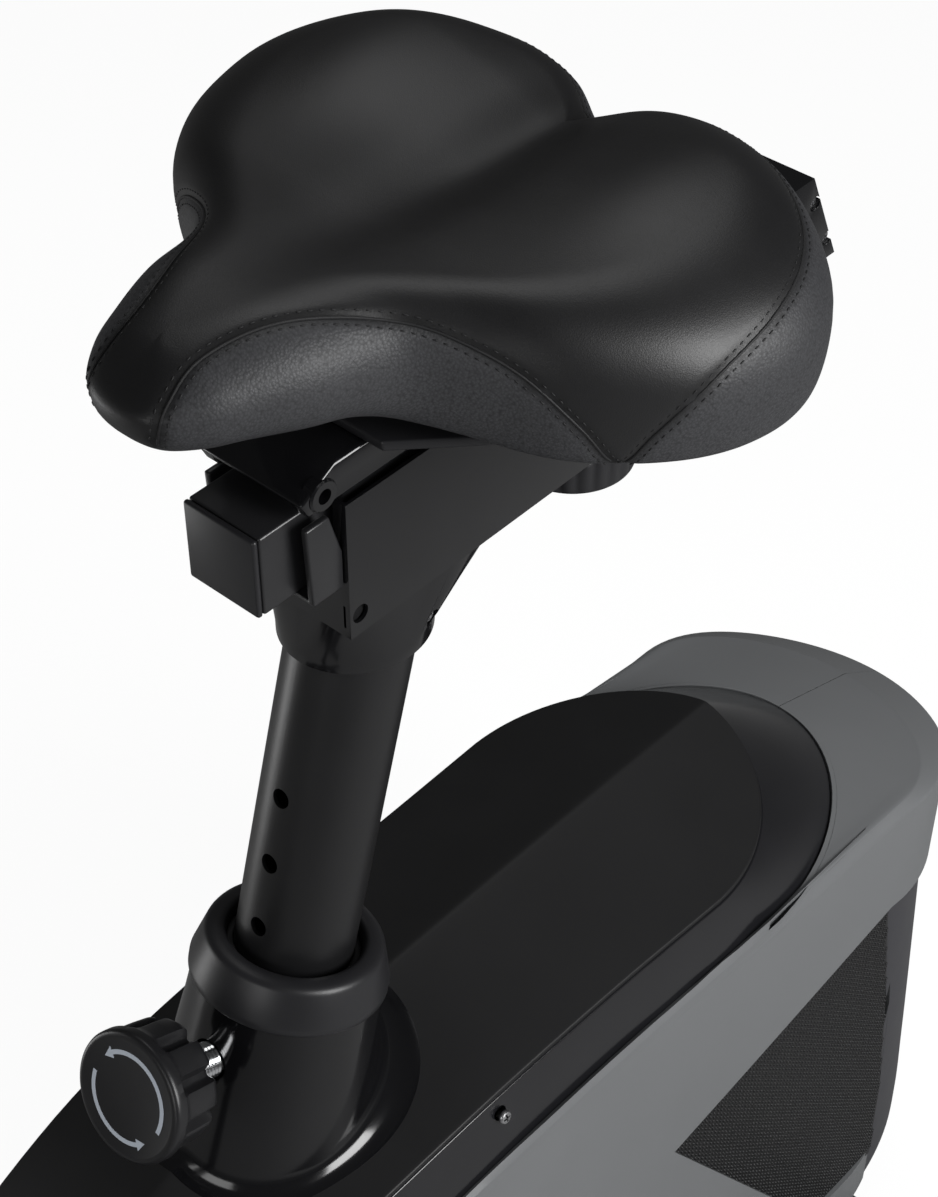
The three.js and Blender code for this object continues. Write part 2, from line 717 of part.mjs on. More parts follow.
function rearBlock(inset, bottom) {
  const half = (y) => shellHalfAt(y) - rearCoverInset;
  const ringAt = (rear, height) => housingRing(half, 300, capCentre, rear, () => height, inset);
  return solid(loft([
    ringAt(halfLength, bottom), ringAt(halfLength, 80), ringAt(580, 160), ringAt(562, 270),
    ringAt(rearCoverTop, 430),
  ]));
}

function rearCover() {
  const zone = solid(across(rearZone(-gap), -300, 300));
  const shell = rearBlock(0, shellBottom).subtract(rearBlock(shellWall, shellBottom - 10));
  add('rear_cover', geometry(shell.intersect(zone)), 'satin_black');
}

function neck() {
  const start = collarTop + collarHeight + gap;
  const inner = seatTubeOuter + gap;
  const profile = [[inner, 0], [46, 0], [47.5, 20], [50, 36], [56, 50], [68, 60], [68, 130], [inner, 130], [inner, 0]];
  const down = postUp.map((value) => -value);
  const body = solid(turned(profile, onPost(start), down, 32));
  const bush = solid(bar(onPin(20), onPin(90), bushOuter + 1.5, 20));
  add('neck_cover', geometry(cut(body, deckBlock(-gap), bush)), 'gloss_black');
}

// ---------------------------------------------------------------- frame
const mainBeamTop = mainBeamBottom + mainBeamHeight;
const mainBeamHalf = mainBeamWidth / 2;
const mainBeamWall = 3;
const rearStabiliserY = 440;
const frontStabiliserY = wheelRadius - halfLength;
const stabiliserHeight = mainBeamBottom - gap - stabiliserRadius;
const stabiliserWall = 2.5;
const crankShellHalf = 40;
const bearingInner = 10;
const crankShellInner = 20;
const mastRadius = 30;
const mastFootY = -500;
const mastTopY = -480;
const mastTopZ = 1040;

function frame() {
  const outer = rectangle(-mainBeamHalf, mainBeamHalf, mainBeamBottom, mainBeamTop);
  const inner = rectangle(-mainBeamHalf + mainBeamWall, mainBeamHalf - mainBeamWall,
    mainBeamBottom + mainBeamWall, mainBeamTop - mainBeamWall);
  add('main_beam', along(outer, frontStabiliserY - 12, rearStabiliserY + 20, inner), 'painted_black');

  const axisPoint = [-crankShellHalf, crankY, crankHeight];
  const shell = bar(axisPoint, [crankShellHalf, crankY, crankHeight], bracketShellOuter, 32);
  const bore = bar([-99, crankY, crankHeight], [99, crankY, crankHeight], crankShellInner, 32);
  const strut = cut(solid(bar(onPost(downPostAt(crankHeight)), onPost(downPostAt(0)), 25, 24)),
    solid(box(-60, 60, -500, 300, -50, mainBeamTop + gap)));
  add('frame_strut', geometry(cut(join(strut, solid(shell)), solid(bore))), 'painted_black');

  [['front', frontStabiliserY], ['rear', rearStabiliserY]].forEach(([end, y]) => {
    const half = stabiliserLength / 2;
    const tube = ring([-half, y, stabiliserHeight], [1, 0, 0], stabiliserRadius - stabiliserWall,
      stabiliserRadius, 2 * half);
    add(`${end}_stabiliser`, tube, 'painted_black');
  });
}

const footHeight = 10;
const footRadius = 22;
const capLength = 14;
const wheelWidth = 18;
const wheelAxle = 4;

// A cap with a plug for the end of a stabiliser.
function stabiliserCap(sign, y) {
  const end = sign * stabiliserLength / 2;
  const flange = bar([end + sign * gap, y, stabiliserHeight], [end + sign * capLength, y, stabiliserHeight],
    stabiliserRadius + 1);
  const plug = bar([end - sign * 25, y, stabiliserHeight], [end + sign * 2, y, stabiliserHeight],
    stabiliserRadius - stabiliserWall - gap);
  return join(solid(flange), solid(plug));
}

function stabiliserEnds() {
  [['left', 1], ['right', -1]].forEach(([side, sign]) => {
    const end = sign * stabiliserLength / 2;
    add(`rear_cap_${side}`, geometry(stabiliserCap(sign, rearStabiliserY)), 'satin_black');

    const footX = end - sign * 45;
    const top = stabiliserHeight - stabiliserRadius - gap;
    const profile = [[0, 0], [footRadius - 2, 0], [footRadius, 2], [footRadius, footHeight], [0, footHeight]];
    const foot = turned(profile, [footX, rearStabiliserY, 0], [0, 0, 1], 24);
    const stud = bar([footX, rearStabiliserY, footHeight - 1], [footX, rearStabiliserY, top], 5, 12);
    add(`levelling_foot_${side}`, geometry(join(solid(foot), solid(stud))), 'rubber_black');

    const bore = wheelAxle + gap;
    const half = wheelWidth / 2;
    const wheelProfile = [[bore, -half], [wheelRadius - 3, -half], [wheelRadius, 3 - half], [wheelRadius, half - 3],
      [wheelRadius - 3, half], [bore, half], [bore, -half]];
    const inner = end + sign * (capLength + 1);
    const middle = inner + sign * half;
    const wheel = turned(wheelProfile, [middle, frontStabiliserY, wheelRadius], [1, 0, 0], 28);
    add(`transport_wheel_${side}`, wheel, 'rubber_black');
    const stub = bar([end + sign * 5, frontStabiliserY, wheelRadius],
      [inner + sign * (wheelWidth + 1), frontStabiliserY, wheelRadius], wheelAxle, 16);
    const head = bar([inner + sign * (wheelWidth + 1), frontStabiliserY, wheelRadius],
      [inner + sign * (wheelWidth + 4), frontStabiliserY, wheelRadius], wheelAxle + 4, 16);
    const cap = join(stabiliserCap(sign, frontStabiliserY), solid(stub), solid(head));
    add(`front_cap_${side}`, geometry(cap), 'satin_black');
  });
}

// ---------------------------------------------------------------- mast, handlebar and console
const handlebarY = -477;
const handlebarRear = -338;
const handlebarZ = 1078;
const gripLength = 78;
const gripWall = 4;
const clampHalf = 32;

function mast() {
  const foot = [0, mastFootY, mainBeamTop];
  const top = [0, mastTopY, mastTopZ];
  const beyond = (t) => foot.map((value, k) => value + (top[k] - value) * t);
  const tube = cut(solid(bar(beyond(-0.05), beyond(1.01), mastRadius, 24)),
    solid(bar(beyond(-0.1), beyond(0.97), mastRadius - 3, 24)),
    solid(box(-80, 80, -800, -200, -50, mainBeamTop + gap)), solid(box(-80, 80, -800, -200, mastTopZ, 1200)));
  const outline = [[handlebarY - 26, mastTopZ - 6], [handlebarY + 24, mastTopZ - 6],
    [handlebarY + 26, handlebarZ + 20], [handlebarY - 26, handlebarZ + 26]];
  const clamp = solid(across(outline, -clampHalf, clampHalf));
  const bore = solid(bar([-60, handlebarY, handlebarZ], [60, handlebarY, handlebarZ], handlebarRadius + gap, 24));
  add('mast_tube', geometry(join(tube, clamp).subtract(bore)), 'painted_black');
}

function handlebar() {
  const half = handlebarHalf;
  const top = handlebarHeight;
  const side = [[half, handlebarRear, top], [half, -364, top], [half, -392, top], [half, -421, top],
    [half - 5, -445, top - 7], [half - 24, -464, top - 24], [half - 59, -474, top - 46],
    [half - 97, handlebarY, handlebarZ + 8], [half - 135, handlebarY, handlebarZ],
    [clampHalf + 8, handlebarY, handlebarZ], [0, handlebarY, handlebarZ]];
  const other = side.slice(0, -1).map(([x, y, z]) => [-x, y, z]).reverse();
  const path = [...side, ...other];
  add('handlebar', bentBar(path, handlebarRadius, 34, 12), 'painted_black');
  [['left', 1], ['right', -1]].forEach(([name, sign]) => {
    const rear = handlebarRear + gripWall;
    const inner = handlebarRadius + 2 * gap;
    const profile = [[0, 0], [inner + gripWall, 0], [inner + gripWall, gripLength], [inner, gripLength],
      [inner, gripWall + gap], [0, gripWall + gap]];
    const grip = turned(profile, [sign * half, rear + gap, handlebarHeight], [0, -1, 0], 20);
    add(`handlebar_grip_${name}`, grip, 'rubber_black');
  });
}

const consoleCentre = [0, -490, 1196];
const consoleThickness = 34;
const consoleTilt = THREE.MathUtils.degToRad(-40);
const screenDepth = 4;
const buttonTravel = 2;

function placed(shape) {
  return shape.rotateX(consoleTilt).translate(...consoleCentre);
}

function roundedRectangle(halfX, halfY, radius) {
  const corner = (x, y, start) => Array.from({ length: 5 }, (_, i) => {
    const angle = start + Math.PI / 2 * i / 4;
    return [x + radius * Math.cos(angle), y + radius * Math.sin(angle)];
  });
  const x = halfX - radius;
  const y = halfY - radius;
  return [...corner(x, y, 0), ...corner(-x, y, Math.PI / 2), ...corner(-x, -y, Math.PI), ...corner(x, -y, 1.5 * Math.PI)];
}

function consoleUnit() {
  const halfX = consoleWidth / 2;
  const halfY = consoleDepth / 2;
  const ringAt = (inset, z) => roundedRectangle(halfX - inset, halfY - inset, 24).map(([x, y]) => [x, y, z]);
  const face = consoleThickness / 2;
  const body = loft([ringAt(24, -face), ringAt(4, -face + 14), ringAt(0, face - 5), ringAt(4, face)]);
  const screenX = halfX - 22;
  const screenTop = -halfY + 18;
  const screenFoot = halfY - 50;
  const recess = box(-screenX, screenX, screenTop, screenFoot, face - screenDepth, face + 2);
  const buttons = [-1, 0, 1].map((step) => step * consoleWidth / 5);
  const row = halfY - 27;
  const bores = buttons.map((x) => solid(placed(
    bar([x, row, face - 10], [x, row, face + 2], buttonRadius + gap, 20))));
  // A foot under the console carries it on the clamp.
  const foot = box(-26, 26, handlebarY - 22, handlebarY + 20, handlebarZ + 26 + gap, consoleCentre[2] - 4);
  const shell = join(solid(placed(body)), solid(foot));
  add('console_housing', geometry(cut(shell, solid(placed(recess)), ...bores)), 'satin_black');
  const screen = box(-screenX + gap, screenX - gap, screenTop + gap, screenFoot - gap, face - screenDepth + gap,
    face - 0.6);
  add('console_screen', placed(screen), 'screen_glass');
  buttons.forEach((x, i) => {
    const low = face - 10 + buttonTravel + gap;
    const button = bar([x, row, low], [x, row, face + 2.4], buttonRadius, 20);
    add(`console_button_${i + 1}`, placed(button), 'button_grey');
  });
}

// ---------------------------------------------------------------- cranks and pedals
const spindleRadius = bearingInner - gap;
const armInner = 99;
const armThickness = 14;
const armAngle = THREE.MathUtils.degToRad(-160);
const pedalSpindle = 6;
const pedalInner = armInner + armThickness + 4;
const pedalWidth = 92;
const pedalLength = 96;
const pedalHeight = 26;
const pulleyWidth = 14;

// The two pedal axes, opposite each other round the crank axis.
function pedalCentre(sign) {
  return [crankY - sign * crankLength * Math.cos(armAngle), crankHeight + sign * crankLength * Math.sin(armAngle)];
}

function capsule(start, end, startRadius, endRadius, facets) {
  const angle = Math.atan2(end[1] - start[1], end[0] - start[0]);
  const distance = Math.hypot(end[0] - start[0], end[1] - start[1]);
  const spread = Math.acos((startRadius - endRadius) / distance);
  const arc = (centre, radius, from, to) => Array.from({ length: facets + 1 }, (_, i) => {
    const a = from + (to - from) * i / facets;
    return [centre[0] + radius * Math.cos(a), centre[1] + radius * Math.sin(a)];
  });
  return [...arc(start, startRadius, angle + spread, angle + 2 * Math.PI - spread),
    ...arc(end, endRadius, angle - spread, angle + spread)];
}

function cranks() {
  const reach = armInner + armThickness + 2;
  const spindle = bar([-reach, crankY, crankHeight], [reach, crankY, crankHeight], spindleRadius, 24);
  add('crank_spindle', spindle, 'steel');
  [['left', 1], ['right', -1]].forEach(([side, sign]) => {
    const seat = sign > 0 ? crankShellHalf - 12 : -crankShellHalf + 1;
    const bearing = ring([seat, crankY, crankHeight], [1, 0, 0], bearingInner, crankShellInner - gap, 11, 24);
    add(`crank_bearing_${side}`, bearing, 'steel');

    const pedal = pedalCentre(sign);
    const low = Math.min(sign * armInner, sign * (armInner + armThickness));
    const outline = capsule([crankY, crankHeight], pedal, 20, 14, 10);
    const arm = solid(across(outline, low, low + armThickness));
    const bore = solid(bar([-200, crankY, crankHeight], [200, crankY, crankHeight], spindleRadius + gap, 24));
    const stub = solid(bar([sign * (armInner + 2), ...pedal], [sign * (pedalInner + pedalWidth + 2), ...pedal],
      pedalSpindle, 16));
    add(`crank_arm_${side}`, geometry(join(arm.subtract(bore), stub)), 'painted_black');

    const near = Math.min(sign * pedalInner, sign * (pedalInner + pedalWidth));
    const [y, z] = pedal;
    const body = across([[y - pedalLength / 2, z - 8], [y - pedalLength / 2 + 12, z - pedalHeight / 2],
      [y + pedalLength / 2 - 12, z - pedalHeight / 2], [y + pedalLength / 2, z - 8],
      [y + pedalLength / 2, z + 8], [y + pedalLength / 2 - 12, z + pedalHeight / 2],
      [y - pedalLength / 2 + 12, z + pedalHeight / 2], [y - pedalLength / 2, z + 8]], near, near + pedalWidth);
    const hole = bar([-300, y, z], [300, y, z], pedalSpindle + gap, 16);
    add(`pedal_${side}`, geometry(solid(body).subtract(solid(hole))), 'rubber_black');
  });
}

// A belt pulley: rim, thin web and hub, about the x axis.
function pulley(y, z, radius, bore) {
  const half = pulleyWidth / 2;
  const profile = [[bore, -half], [bore + 9, -half], [bore + 9, -3], [radius - 8, -3], [radius - 8, -half],
    [radius, -half], [radius, half], [radius - 8, half], [radius - 8, 3], [bore + 9, 3], [bore + 9, half],
    [bore, half], [bore, -half]];
  const small = [[bore, -half], [radius, -half], [radius, half], [bore, half], [bore, -half]];
  return turned(radius > 50 ? profile : small, [beltPlane, y, z], [1, 0, 0], 32);
}

const flywheelAxle = 8.5;
const bracketInner = mainBeamHalf + gap;
const bracketThickness = 5;
const brakePivot = [196, flywheelHeight + flywheelRadius + 15];
const brakePin = 5;
const brakePinReach = bracketInner + bracketThickness + 3;

function drive() {
  add('drive_pulley', pulley(crankY, crankHeight, crankPulleyRadius, spindleRadius + gap), 'satin_black');
  add('flywheel_pulley', pulley(flywheelY, flywheelHeight, flywheelPulleyRadius, flywheelAxle + gap), 'steel');
  const start = [crankY, crankHeight];
  const end = [flywheelY, flywheelHeight];
  const inner = capsule(start, end, crankPulleyRadius + 2 * gap, flywheelPulleyRadius + 2 * gap, 24);
  const grown = 2 * gap + beltThickness;
  const outer = capsule(start, end, crankPulleyRadius + grown, flywheelPulleyRadius + grown, 24);
  add('drive_belt', across(outer, beltPlane - beltWidth / 2, beltPlane + beltWidth / 2, inner), 'belt_rubber');

  const half = flywheelWidth / 2;
  const bore = flywheelAxle + gap;
  const rim = flywheelRadius - 38;
  const profile = [[bore, -half], [bore + 16, -half], [bore + 22, -5], [rim - 8, -5], [rim, -half],
    [flywheelRadius, -half], [flywheelRadius, half], [rim, half], [rim - 8, 5], [bore + 22, 5], [bore + 16, half],
    [bore, half], [bore, -half]];
  add('flywheel', turned(profile, [0, flywheelY, flywheelHeight], [1, 0, 0], 40), 'iron');
  const reach = Math.abs(beltPlane) + pulleyWidth / 2 + 2;
  add('flywheel_axle', bar([-reach, flywheelY, flywheelHeight], [reach - 18, flywheelY, flywheelHeight],
    flywheelAxle, 20), 'steel');

  const [pivotY, pivotZ] = brakePivot;
  const outline = [[flywheelY - 60, mainBeamBottom + 2], [flywheelY + 60, mainBeamBottom + 2],
    [flywheelY + 28, flywheelHeight + 14], [flywheelY + 8, flywheelHeight + 30], [pivotY + 18, pivotZ + 14],
    [pivotY - 16, pivotZ + 14], [pivotY - 16, pivotZ - 16], [flywheelY - 30, flywheelHeight]];
  const axleBore = solid(bar([-90, flywheelY, flywheelHeight], [90, flywheelY, flywheelHeight], bore, 20));
  const pinBore = solid(bar([-90, pivotY, pivotZ], [90, pivotY, pivotZ], brakePin + gap, 16));
  const reachX = bracketInner + bracketThickness;
  const plates = solid(across(outline, -reachX, reachX)).subtract(
    solid(box(-bracketInner, bracketInner, 0, 600, mainBeamBottom, 600)));
  const web = solid(box(-reachX, reachX, flywheelY - 60, flywheelY + 60, mainBeamBottom - gap - bracketThickness,
    mainBeamBottom - gap));
  const folds = [bracketInner, -reachX].map((low) => solid(box(low, low + bracketThickness, flywheelY - 60,
    flywheelY + 60, mainBeamBottom - gap - 1, mainBeamBottom + 4)));
  add('flywheel_bracket', geometry(cut(join(plates, web, ...folds), axleBore, pinBore)), 'painted_black');
}

// A magnetic brake: a channel that straddles the flywheel's rim and swings up from it.
function brake() {
  const [pivotY, pivotZ] = brakePivot;
  const rimTop = flywheelHeight + flywheelRadius;
  const web = rimTop + 6;
  const inner = flywheelWidth / 2 + 1.2;
  const outer = inner + 6;
  const outline = [[pivotY - 12, pivotZ - 12], [flywheelY - 70, pivotZ - 12], [flywheelY - 58, rimTop - 26],
    [flywheelY + 48, rimTop - 26], [flywheelY + 48, web + 4], [pivotY + 22, web + 4], [pivotY + 12, pivotZ + 10],
    [pivotY - 12, pivotZ + 10]];
  const arm = cut(solid(across(outline, -outer, outer)), solid(box(-inner, inner, 0, 500, 200, web)));
  const pin = bar([-brakePinReach, pivotY, pivotZ], [brakePinReach, pivotY, pivotZ], brakePin, 16);
  add('brake_arm', geometry(join(arm, solid(pin))), 'steel');
}

// ---------------------------------------------------------------- assembly
slideBeam();
saddleCarriage();
saddle();
sliderHead();
slideLock();
seatPost();
seatTube();
collar();
plunger();
deck();
surround();
shells();
rearCover();
neck();
frame();
stabiliserEnds();
mast();
handlebar();
consoleUnit();
cranks();
drive();
brake();

export default bike;
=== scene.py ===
"""The looks of an upright exercise bike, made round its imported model."""

import math

import bmesh
import bpy
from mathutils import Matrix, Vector
from mathutils.bvhtree import BVHTree
from mathutils.kdtree import KDTree


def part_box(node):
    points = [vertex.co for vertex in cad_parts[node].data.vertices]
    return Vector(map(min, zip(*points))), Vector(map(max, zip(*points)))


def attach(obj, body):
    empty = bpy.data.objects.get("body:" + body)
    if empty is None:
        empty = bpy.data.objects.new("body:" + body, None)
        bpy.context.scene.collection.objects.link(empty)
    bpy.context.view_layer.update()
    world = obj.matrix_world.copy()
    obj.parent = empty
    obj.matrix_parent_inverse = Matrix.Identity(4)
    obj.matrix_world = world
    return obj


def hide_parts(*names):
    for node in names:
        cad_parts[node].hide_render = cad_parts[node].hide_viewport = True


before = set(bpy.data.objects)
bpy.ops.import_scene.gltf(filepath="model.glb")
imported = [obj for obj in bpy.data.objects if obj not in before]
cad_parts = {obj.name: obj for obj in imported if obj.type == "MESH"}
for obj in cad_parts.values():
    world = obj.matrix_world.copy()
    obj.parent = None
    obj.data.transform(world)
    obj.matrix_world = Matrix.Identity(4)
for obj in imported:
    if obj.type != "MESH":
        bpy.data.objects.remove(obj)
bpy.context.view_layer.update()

MM = 0.001


def low(node):
    """A CAD node's lowest corner, in millimetres."""
    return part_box(node)[0] / MM


def high(node):
    """A CAD node's highest corner, in millimetres."""
    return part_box(node)[1] / MM


# ------------------------------------------------------------------ driving sizes, in millimetres
BEAM_TOP = high("slide_beam").z
HEAD_HALF = 31
POST_RADIUS = 28.8
POST_LEAN = math.radians(15.79)
POST_OFFSET = 101.3
HOLE_PITCH = 36.4
FIRST_HOLE = 193.7
HOLE_COUNT = 7
PIN_HOLE = 4
PIN_TILT = math.radians(22)
KNOB_REACH = 100.8
COLLAR_TOP = 279
COLLAR_HEIGHT = 25
DECK_HEIGHT = 579
DECK_DROP = 22
DECK_HALF = 88
BAND_HEIGHT = 41
BAND_GROW = 10
SHELL_HALF = 101
SHELL_BOTTOM = 70
SHELL_FRONT = -336
CRANK_HEIGHT = 330
LOCK_Y = 219

POST_UP = Vector((0, math.sin(POST_LEAN), math.cos(POST_LEAN)))
PIN_OUT = Vector((0, -math.cos(PIN_TILT), math.sin(PIN_TILT)))


def on_post(distance):
    """A point of the post's axis, so far down from the beam's top."""
    return Vector((0, POST_OFFSET, BEAM_TOP)) - POST_UP * distance


def on_pin(distance):
    """A point of the plunger's axis, so far out from the post's axis."""
    return on_post(FIRST_HOLE + PIN_HOLE * HOLE_PITCH) + PIN_OUT * distance


# ------------------------------------------------------------------ curves and tables
def smooth_table(table, at):
    """A smooth rule through given points, with no overshoot between them."""
    if at <= table[0][0]:
        return table[0][1]
    if at >= table[-1][0]:
        return table[-1][1]
    slopes = [(b[1] - a[1]) / (b[0] - a[0]) for a, b in zip(table, table[1:])]
    tangents = [slopes[0]]
    for before, after in zip(slopes, slopes[1:]):
        tangents.append(0 if before * after <= 0 else 2 * before * after / (before + after))
    tangents.append(slopes[-1])
    for i, (a, b) in enumerate(zip(table, table[1:])):
        if at <= b[0]:
            width = b[0] - a[0]
            t = (at - a[0]) / width
            start = (1 + 2 * t) * (1 - t) ** 2 * a[1] + t * (1 - t) ** 2 * width * tangents[i]
            return start + t * t * (3 - 2 * t) * b[1] - t * t * (1 - t) * width * tangents[i + 1]
    return table[-1][1]


def mix(a, b, share):
    return a + (b - a) * share


def smoothstep(edge0, edge1, value):
    t = min(1, max(0, (value - edge0) / (edge1 - edge0)))
    return t * t * (3 - 2 * t)


def curve_through(points, steps, closed=False):
    """Points evenly shared out on a Catmull-Rom curve through the given ones."""
    places = [Vector(p) for p in points]
    count = len(places)
    spans = count if closed else count - 1
    dense = []
    for i in range(spans):
        if closed:
            a, b, c, d = (places[(i + k) % count] for k in (-1, 0, 1, 2))
        else:
            b, c = places[i], places[i + 1]
            a = places[i - 1] if i else b * 2 - c
            d = places[i + 2] if i + 2 < count else c * 2 - b
        for k in range(24):
            t = k / 24
            dense.append(0.5 * (2 * b + (c - a) * t + (2 * a - 5 * b + 4 * c - d) * t * t
                                + (3 * b - a - 3 * c + d) * t ** 3))
    dense.append(places[0] if closed else places[-1])
    reach = [0]
    for a, b in zip(dense, dense[1:]):
        reach.append(reach[-1] + (b - a).length)
    out = []
    at = 0
    last = steps if closed else steps - 1
    for k in range(steps):
        goal = reach[-1] * k / last
        while at < len(dense) - 2 and reach[at + 1] < goal:
            at += 1
        span = reach[at + 1] - reach[at]
        out.append(dense[at].lerp(dense[at + 1], (goal - reach[at]) / span if span else 0))
    return out


# ------------------------------------------------------------------ mesh tools
def mesh_piece(name, points, faces):
    """A new object from points in millimetres."""
    mesh = bpy.data.meshes.new(name)
    mesh.from_pydata([tuple(Vector(p) * MM) for p in points], [], faces)
    mesh.validate()
    piece = bpy.data.objects.new(name, mesh)
    bpy.context.scene.collection.objects.link(piece)
    return piece


def outward(piece, merge=0.00001):
    """Welds a closed piece and points its faces outwards."""
    bm = bmesh.new()
    bm.from_mesh(piece.data)
    bmesh.ops.remove_doubles(bm, verts=bm.verts, dist=merge)
    bmesh.ops.recalc_face_normals(bm, faces=bm.faces)
    bm.to_mesh(piece.data)
    bm.free()
    return piece


def settle(piece):
    """Applies the modifiers of a piece."""
    bpy.context.view_layer.update()
    graph = bpy.context.evaluated_depsgraph_get()
    mesh = bpy.data.meshes.new_from_object(piece.evaluated_get(graph))
    piece.modifiers.clear()
    before = piece.data
    piece.data = mesh
    bpy.data.meshes.remove(before)
    return piece


def combined(piece, tool, operation):
    """Joins, cuts or intersects a closed piece with another closed one."""
    change = piece.modifiers.new("tool", "BOOLEAN")
    change.operation = operation
    change.solver = "EXACT"
    change.object = tool
    settle(piece)
    bpy.data.objects.remove(tool)
    return piece


def cut(piece, *tools):
    for tool in tools:
        combined(piece, tool, "DIFFERENCE")
    return piece


def joined(piece, *others):
    """Puts the meshes of other pieces into this one as they are."""
    bm = bmesh.new()
    bm.from_mesh(piece.data)
    for other in others:
        bm.from_mesh(other.data)
        bpy.data.objects.remove(other)
    bm.to_mesh(piece.data)
    bm.free()
    return piece


def rounded(piece, width, segments=3, angle=30):
    """Rounds the edges that are sharper than the angle."""
    change = piece.modifiers.new("round", "BEVEL")
    change.width = width * MM
    change.segments = segments
    change.limit_method = "ANGLE"
    change.angle_limit = math.radians(angle)
    change.use_clamp_overlap = True
    return settle(piece)


def walled(piece, wall):
    """Gives an open skin a wall, inwards from its faces."""
    change = piece.modifiers.new("wall", "SOLIDIFY")
    change.thickness = wall * MM
    change.offset = -1
    change.use_even_offset = True
    return settle(piece)


def shaded(piece, angle=35):
    """Smooth shading, with the edges beyond the angle kept sharp."""
    for polygon in piece.data.polygons:
        polygon.use_smooth = True
    piece.data.set_sharp_from_angle(angle=math.radians(angle))
    return piece


def loft(name, rings, ends=True):
    """A skin through closed rings of equal counts, in order; ends closes it with fans."""
    count = len(rings[0])
    points = [Vector(p) for ring in rings for p in ring]
    faces = []
    for k in range(len(rings) - 1):
        for i in range(count):
            j = (i + 1) % count
            faces.append((k * count + i, k * count + j, (k + 1) * count + j, (k + 1) * count + i))
    if ends:
        for ring, turn in ((0, True), (len(rings) - 1, False)):
            middle = sum((Vector(p) for p in rings[ring]), Vector()) / count
            points.append(middle)
            for i in range(count):
                pair = (ring * count + i, ring * count + (i + 1) % count)
                faces.append((pair[1], pair[0], len(points) - 1) if turn else (*pair, len(points) - 1))
    return outward(mesh_piece(name, points, faces))


def across_frame(direction):
    """Two directions square to one."""
    forward = Vector(direction).normalized()
    side = Vector((1, 0, 0)) if abs(forward.x) < 0.9 else Vector((0, 1, 0))
    first = (side - forward * side.dot(forward)).normalized()
    return first, forward.cross(first)


def turned(name, profile, origin, direction, steps=72):
    """A closed profile of (radius, height) points turned round an axis."""
    forward = Vector(direction).normalized()
    first, second = across_frame(forward)
    origin = Vector(origin)
    rings = []
    for k in range(steps):
        angle = 2 * math.pi * k / steps
        out = first * math.cos(angle) + second * math.sin(angle)
        rings.append([origin + out * r + forward * h for r, h in profile])
    count = len(profile)
    points = [p for ring in rings for p in ring]
    closed = profile[0][0] > 0 or profile[-1][0] > 0
    faces = []
    for k in range(steps):
        n = (k + 1) % steps
        for i in range(count if closed else count - 1):
            j = (i + 1) % count
            faces.append((k * count + i, k * count + j, n * count + j, n * count + i))
    return outward(mesh_piece(name, points, faces))


def rod(name, start, end, radius, steps=48):
    """A solid round bar."""
    start, end = Vector(start), Vector(end)
    length = (end - start).length
    return turned(name, [(0, 0), (radius, 0), (radius, length), (0, length)], start, end - start, steps)


def slab(name, outline, x0, x1):
    """A (y, z) outline carried across from x0 to x1."""
    rings = [[(x, y, z) for y, z in outline] for x in (x0, x1)]
    count = len(outline)
    points = [p for ring in rings for p in ring]
    faces = [(i, (i + 1) % count, count + (i + 1) % count, count + i) for i in range(count)]
    faces += [tuple(range(count - 1, -1, -1)), tuple(range(count, 2 * count))]
    return outward(mesh_piece(name, points, faces))


def block(name, x0, x1, y0, y1, z0, z1):
    return slab(name, [(y0, z0), (y1, z0), (y1, z1), (y0, z1)], x0, x1)


def tube_along(name, points, radius, sides):
    """A round bar along a path."""
    places = [Vector(p) for p in points]
    last = len(places) - 1
    rings = []
    first = None
    for k, place in enumerate(places):
        ahead = places[min(k + 1, last)] - places[max(k - 1, 0)]
        ahead.normalize()
        if first is None:
            first, _ = across_frame(ahead)
        first = (first - ahead * first.dot(ahead)).normalized()
        second = ahead.cross(first)
        turns = [2 * math.pi * i / sides for i in range(sides)]
        rings.append([place + (first * math.cos(a) + second * math.sin(a)) * radius for a in turns])
    return loft(name, rings)


def refined(node, width):
    """A welded copy of a CAD node with its edges rounded."""
    piece = bpy.data.objects.new(f"{node}_skin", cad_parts[node].data.copy())
    bpy.context.scene.collection.objects.link(piece)
    bm = bmesh.new()
    bm.from_mesh(piece.data)
    bmesh.ops.remove_doubles(bm, verts=bm.verts, dist=0.00002)
    flat = [e for e in bm.edges if e.is_manifold and e.calc_face_angle(0) < math.radians(1)]
    bmesh.ops.dissolve_edges(bm, edges=flat, use_verts=False)
    bm.to_mesh(piece.data)
    bm.free()
    return shaded(rounded(piece, width))


# ------------------------------------------------------------------ shader tools
class Value:
    """A socket that takes part in sums."""

    def __init__(self, shade, socket):
        self.shade = shade
        self.socket = socket

    def _with(self, operation, *values):
        return self.shade.node("ShaderNodeMath", {"operation": operation}, dict(enumerate(values)))

    def __add__(self, other):
        return self._with("ADD", self, other)

    __radd__ = __add__

    def __sub__(self, other):
        return self._with("SUBTRACT", self, other)

    def __rsub__(self, other):
        return self._with("SUBTRACT", other, self)

    def __mul__(self, other):
        return self._with("MULTIPLY", self, other)

    __rmul__ = __mul__

    def __pow__(self, other):
        return self._with("POWER", self, other)

    def clamped(self, lowest, highest):
        return self._with("MAXIMUM", self._with("MINIMUM", self, highest), lowest)

    def ramp(self, start, end):
        """0 below start and 1 above end, straight between."""
        return self.shade.node("ShaderNodeMapRange", {"clamp": True},
                               {"Value": self, "From Min": start, "From Max": end})


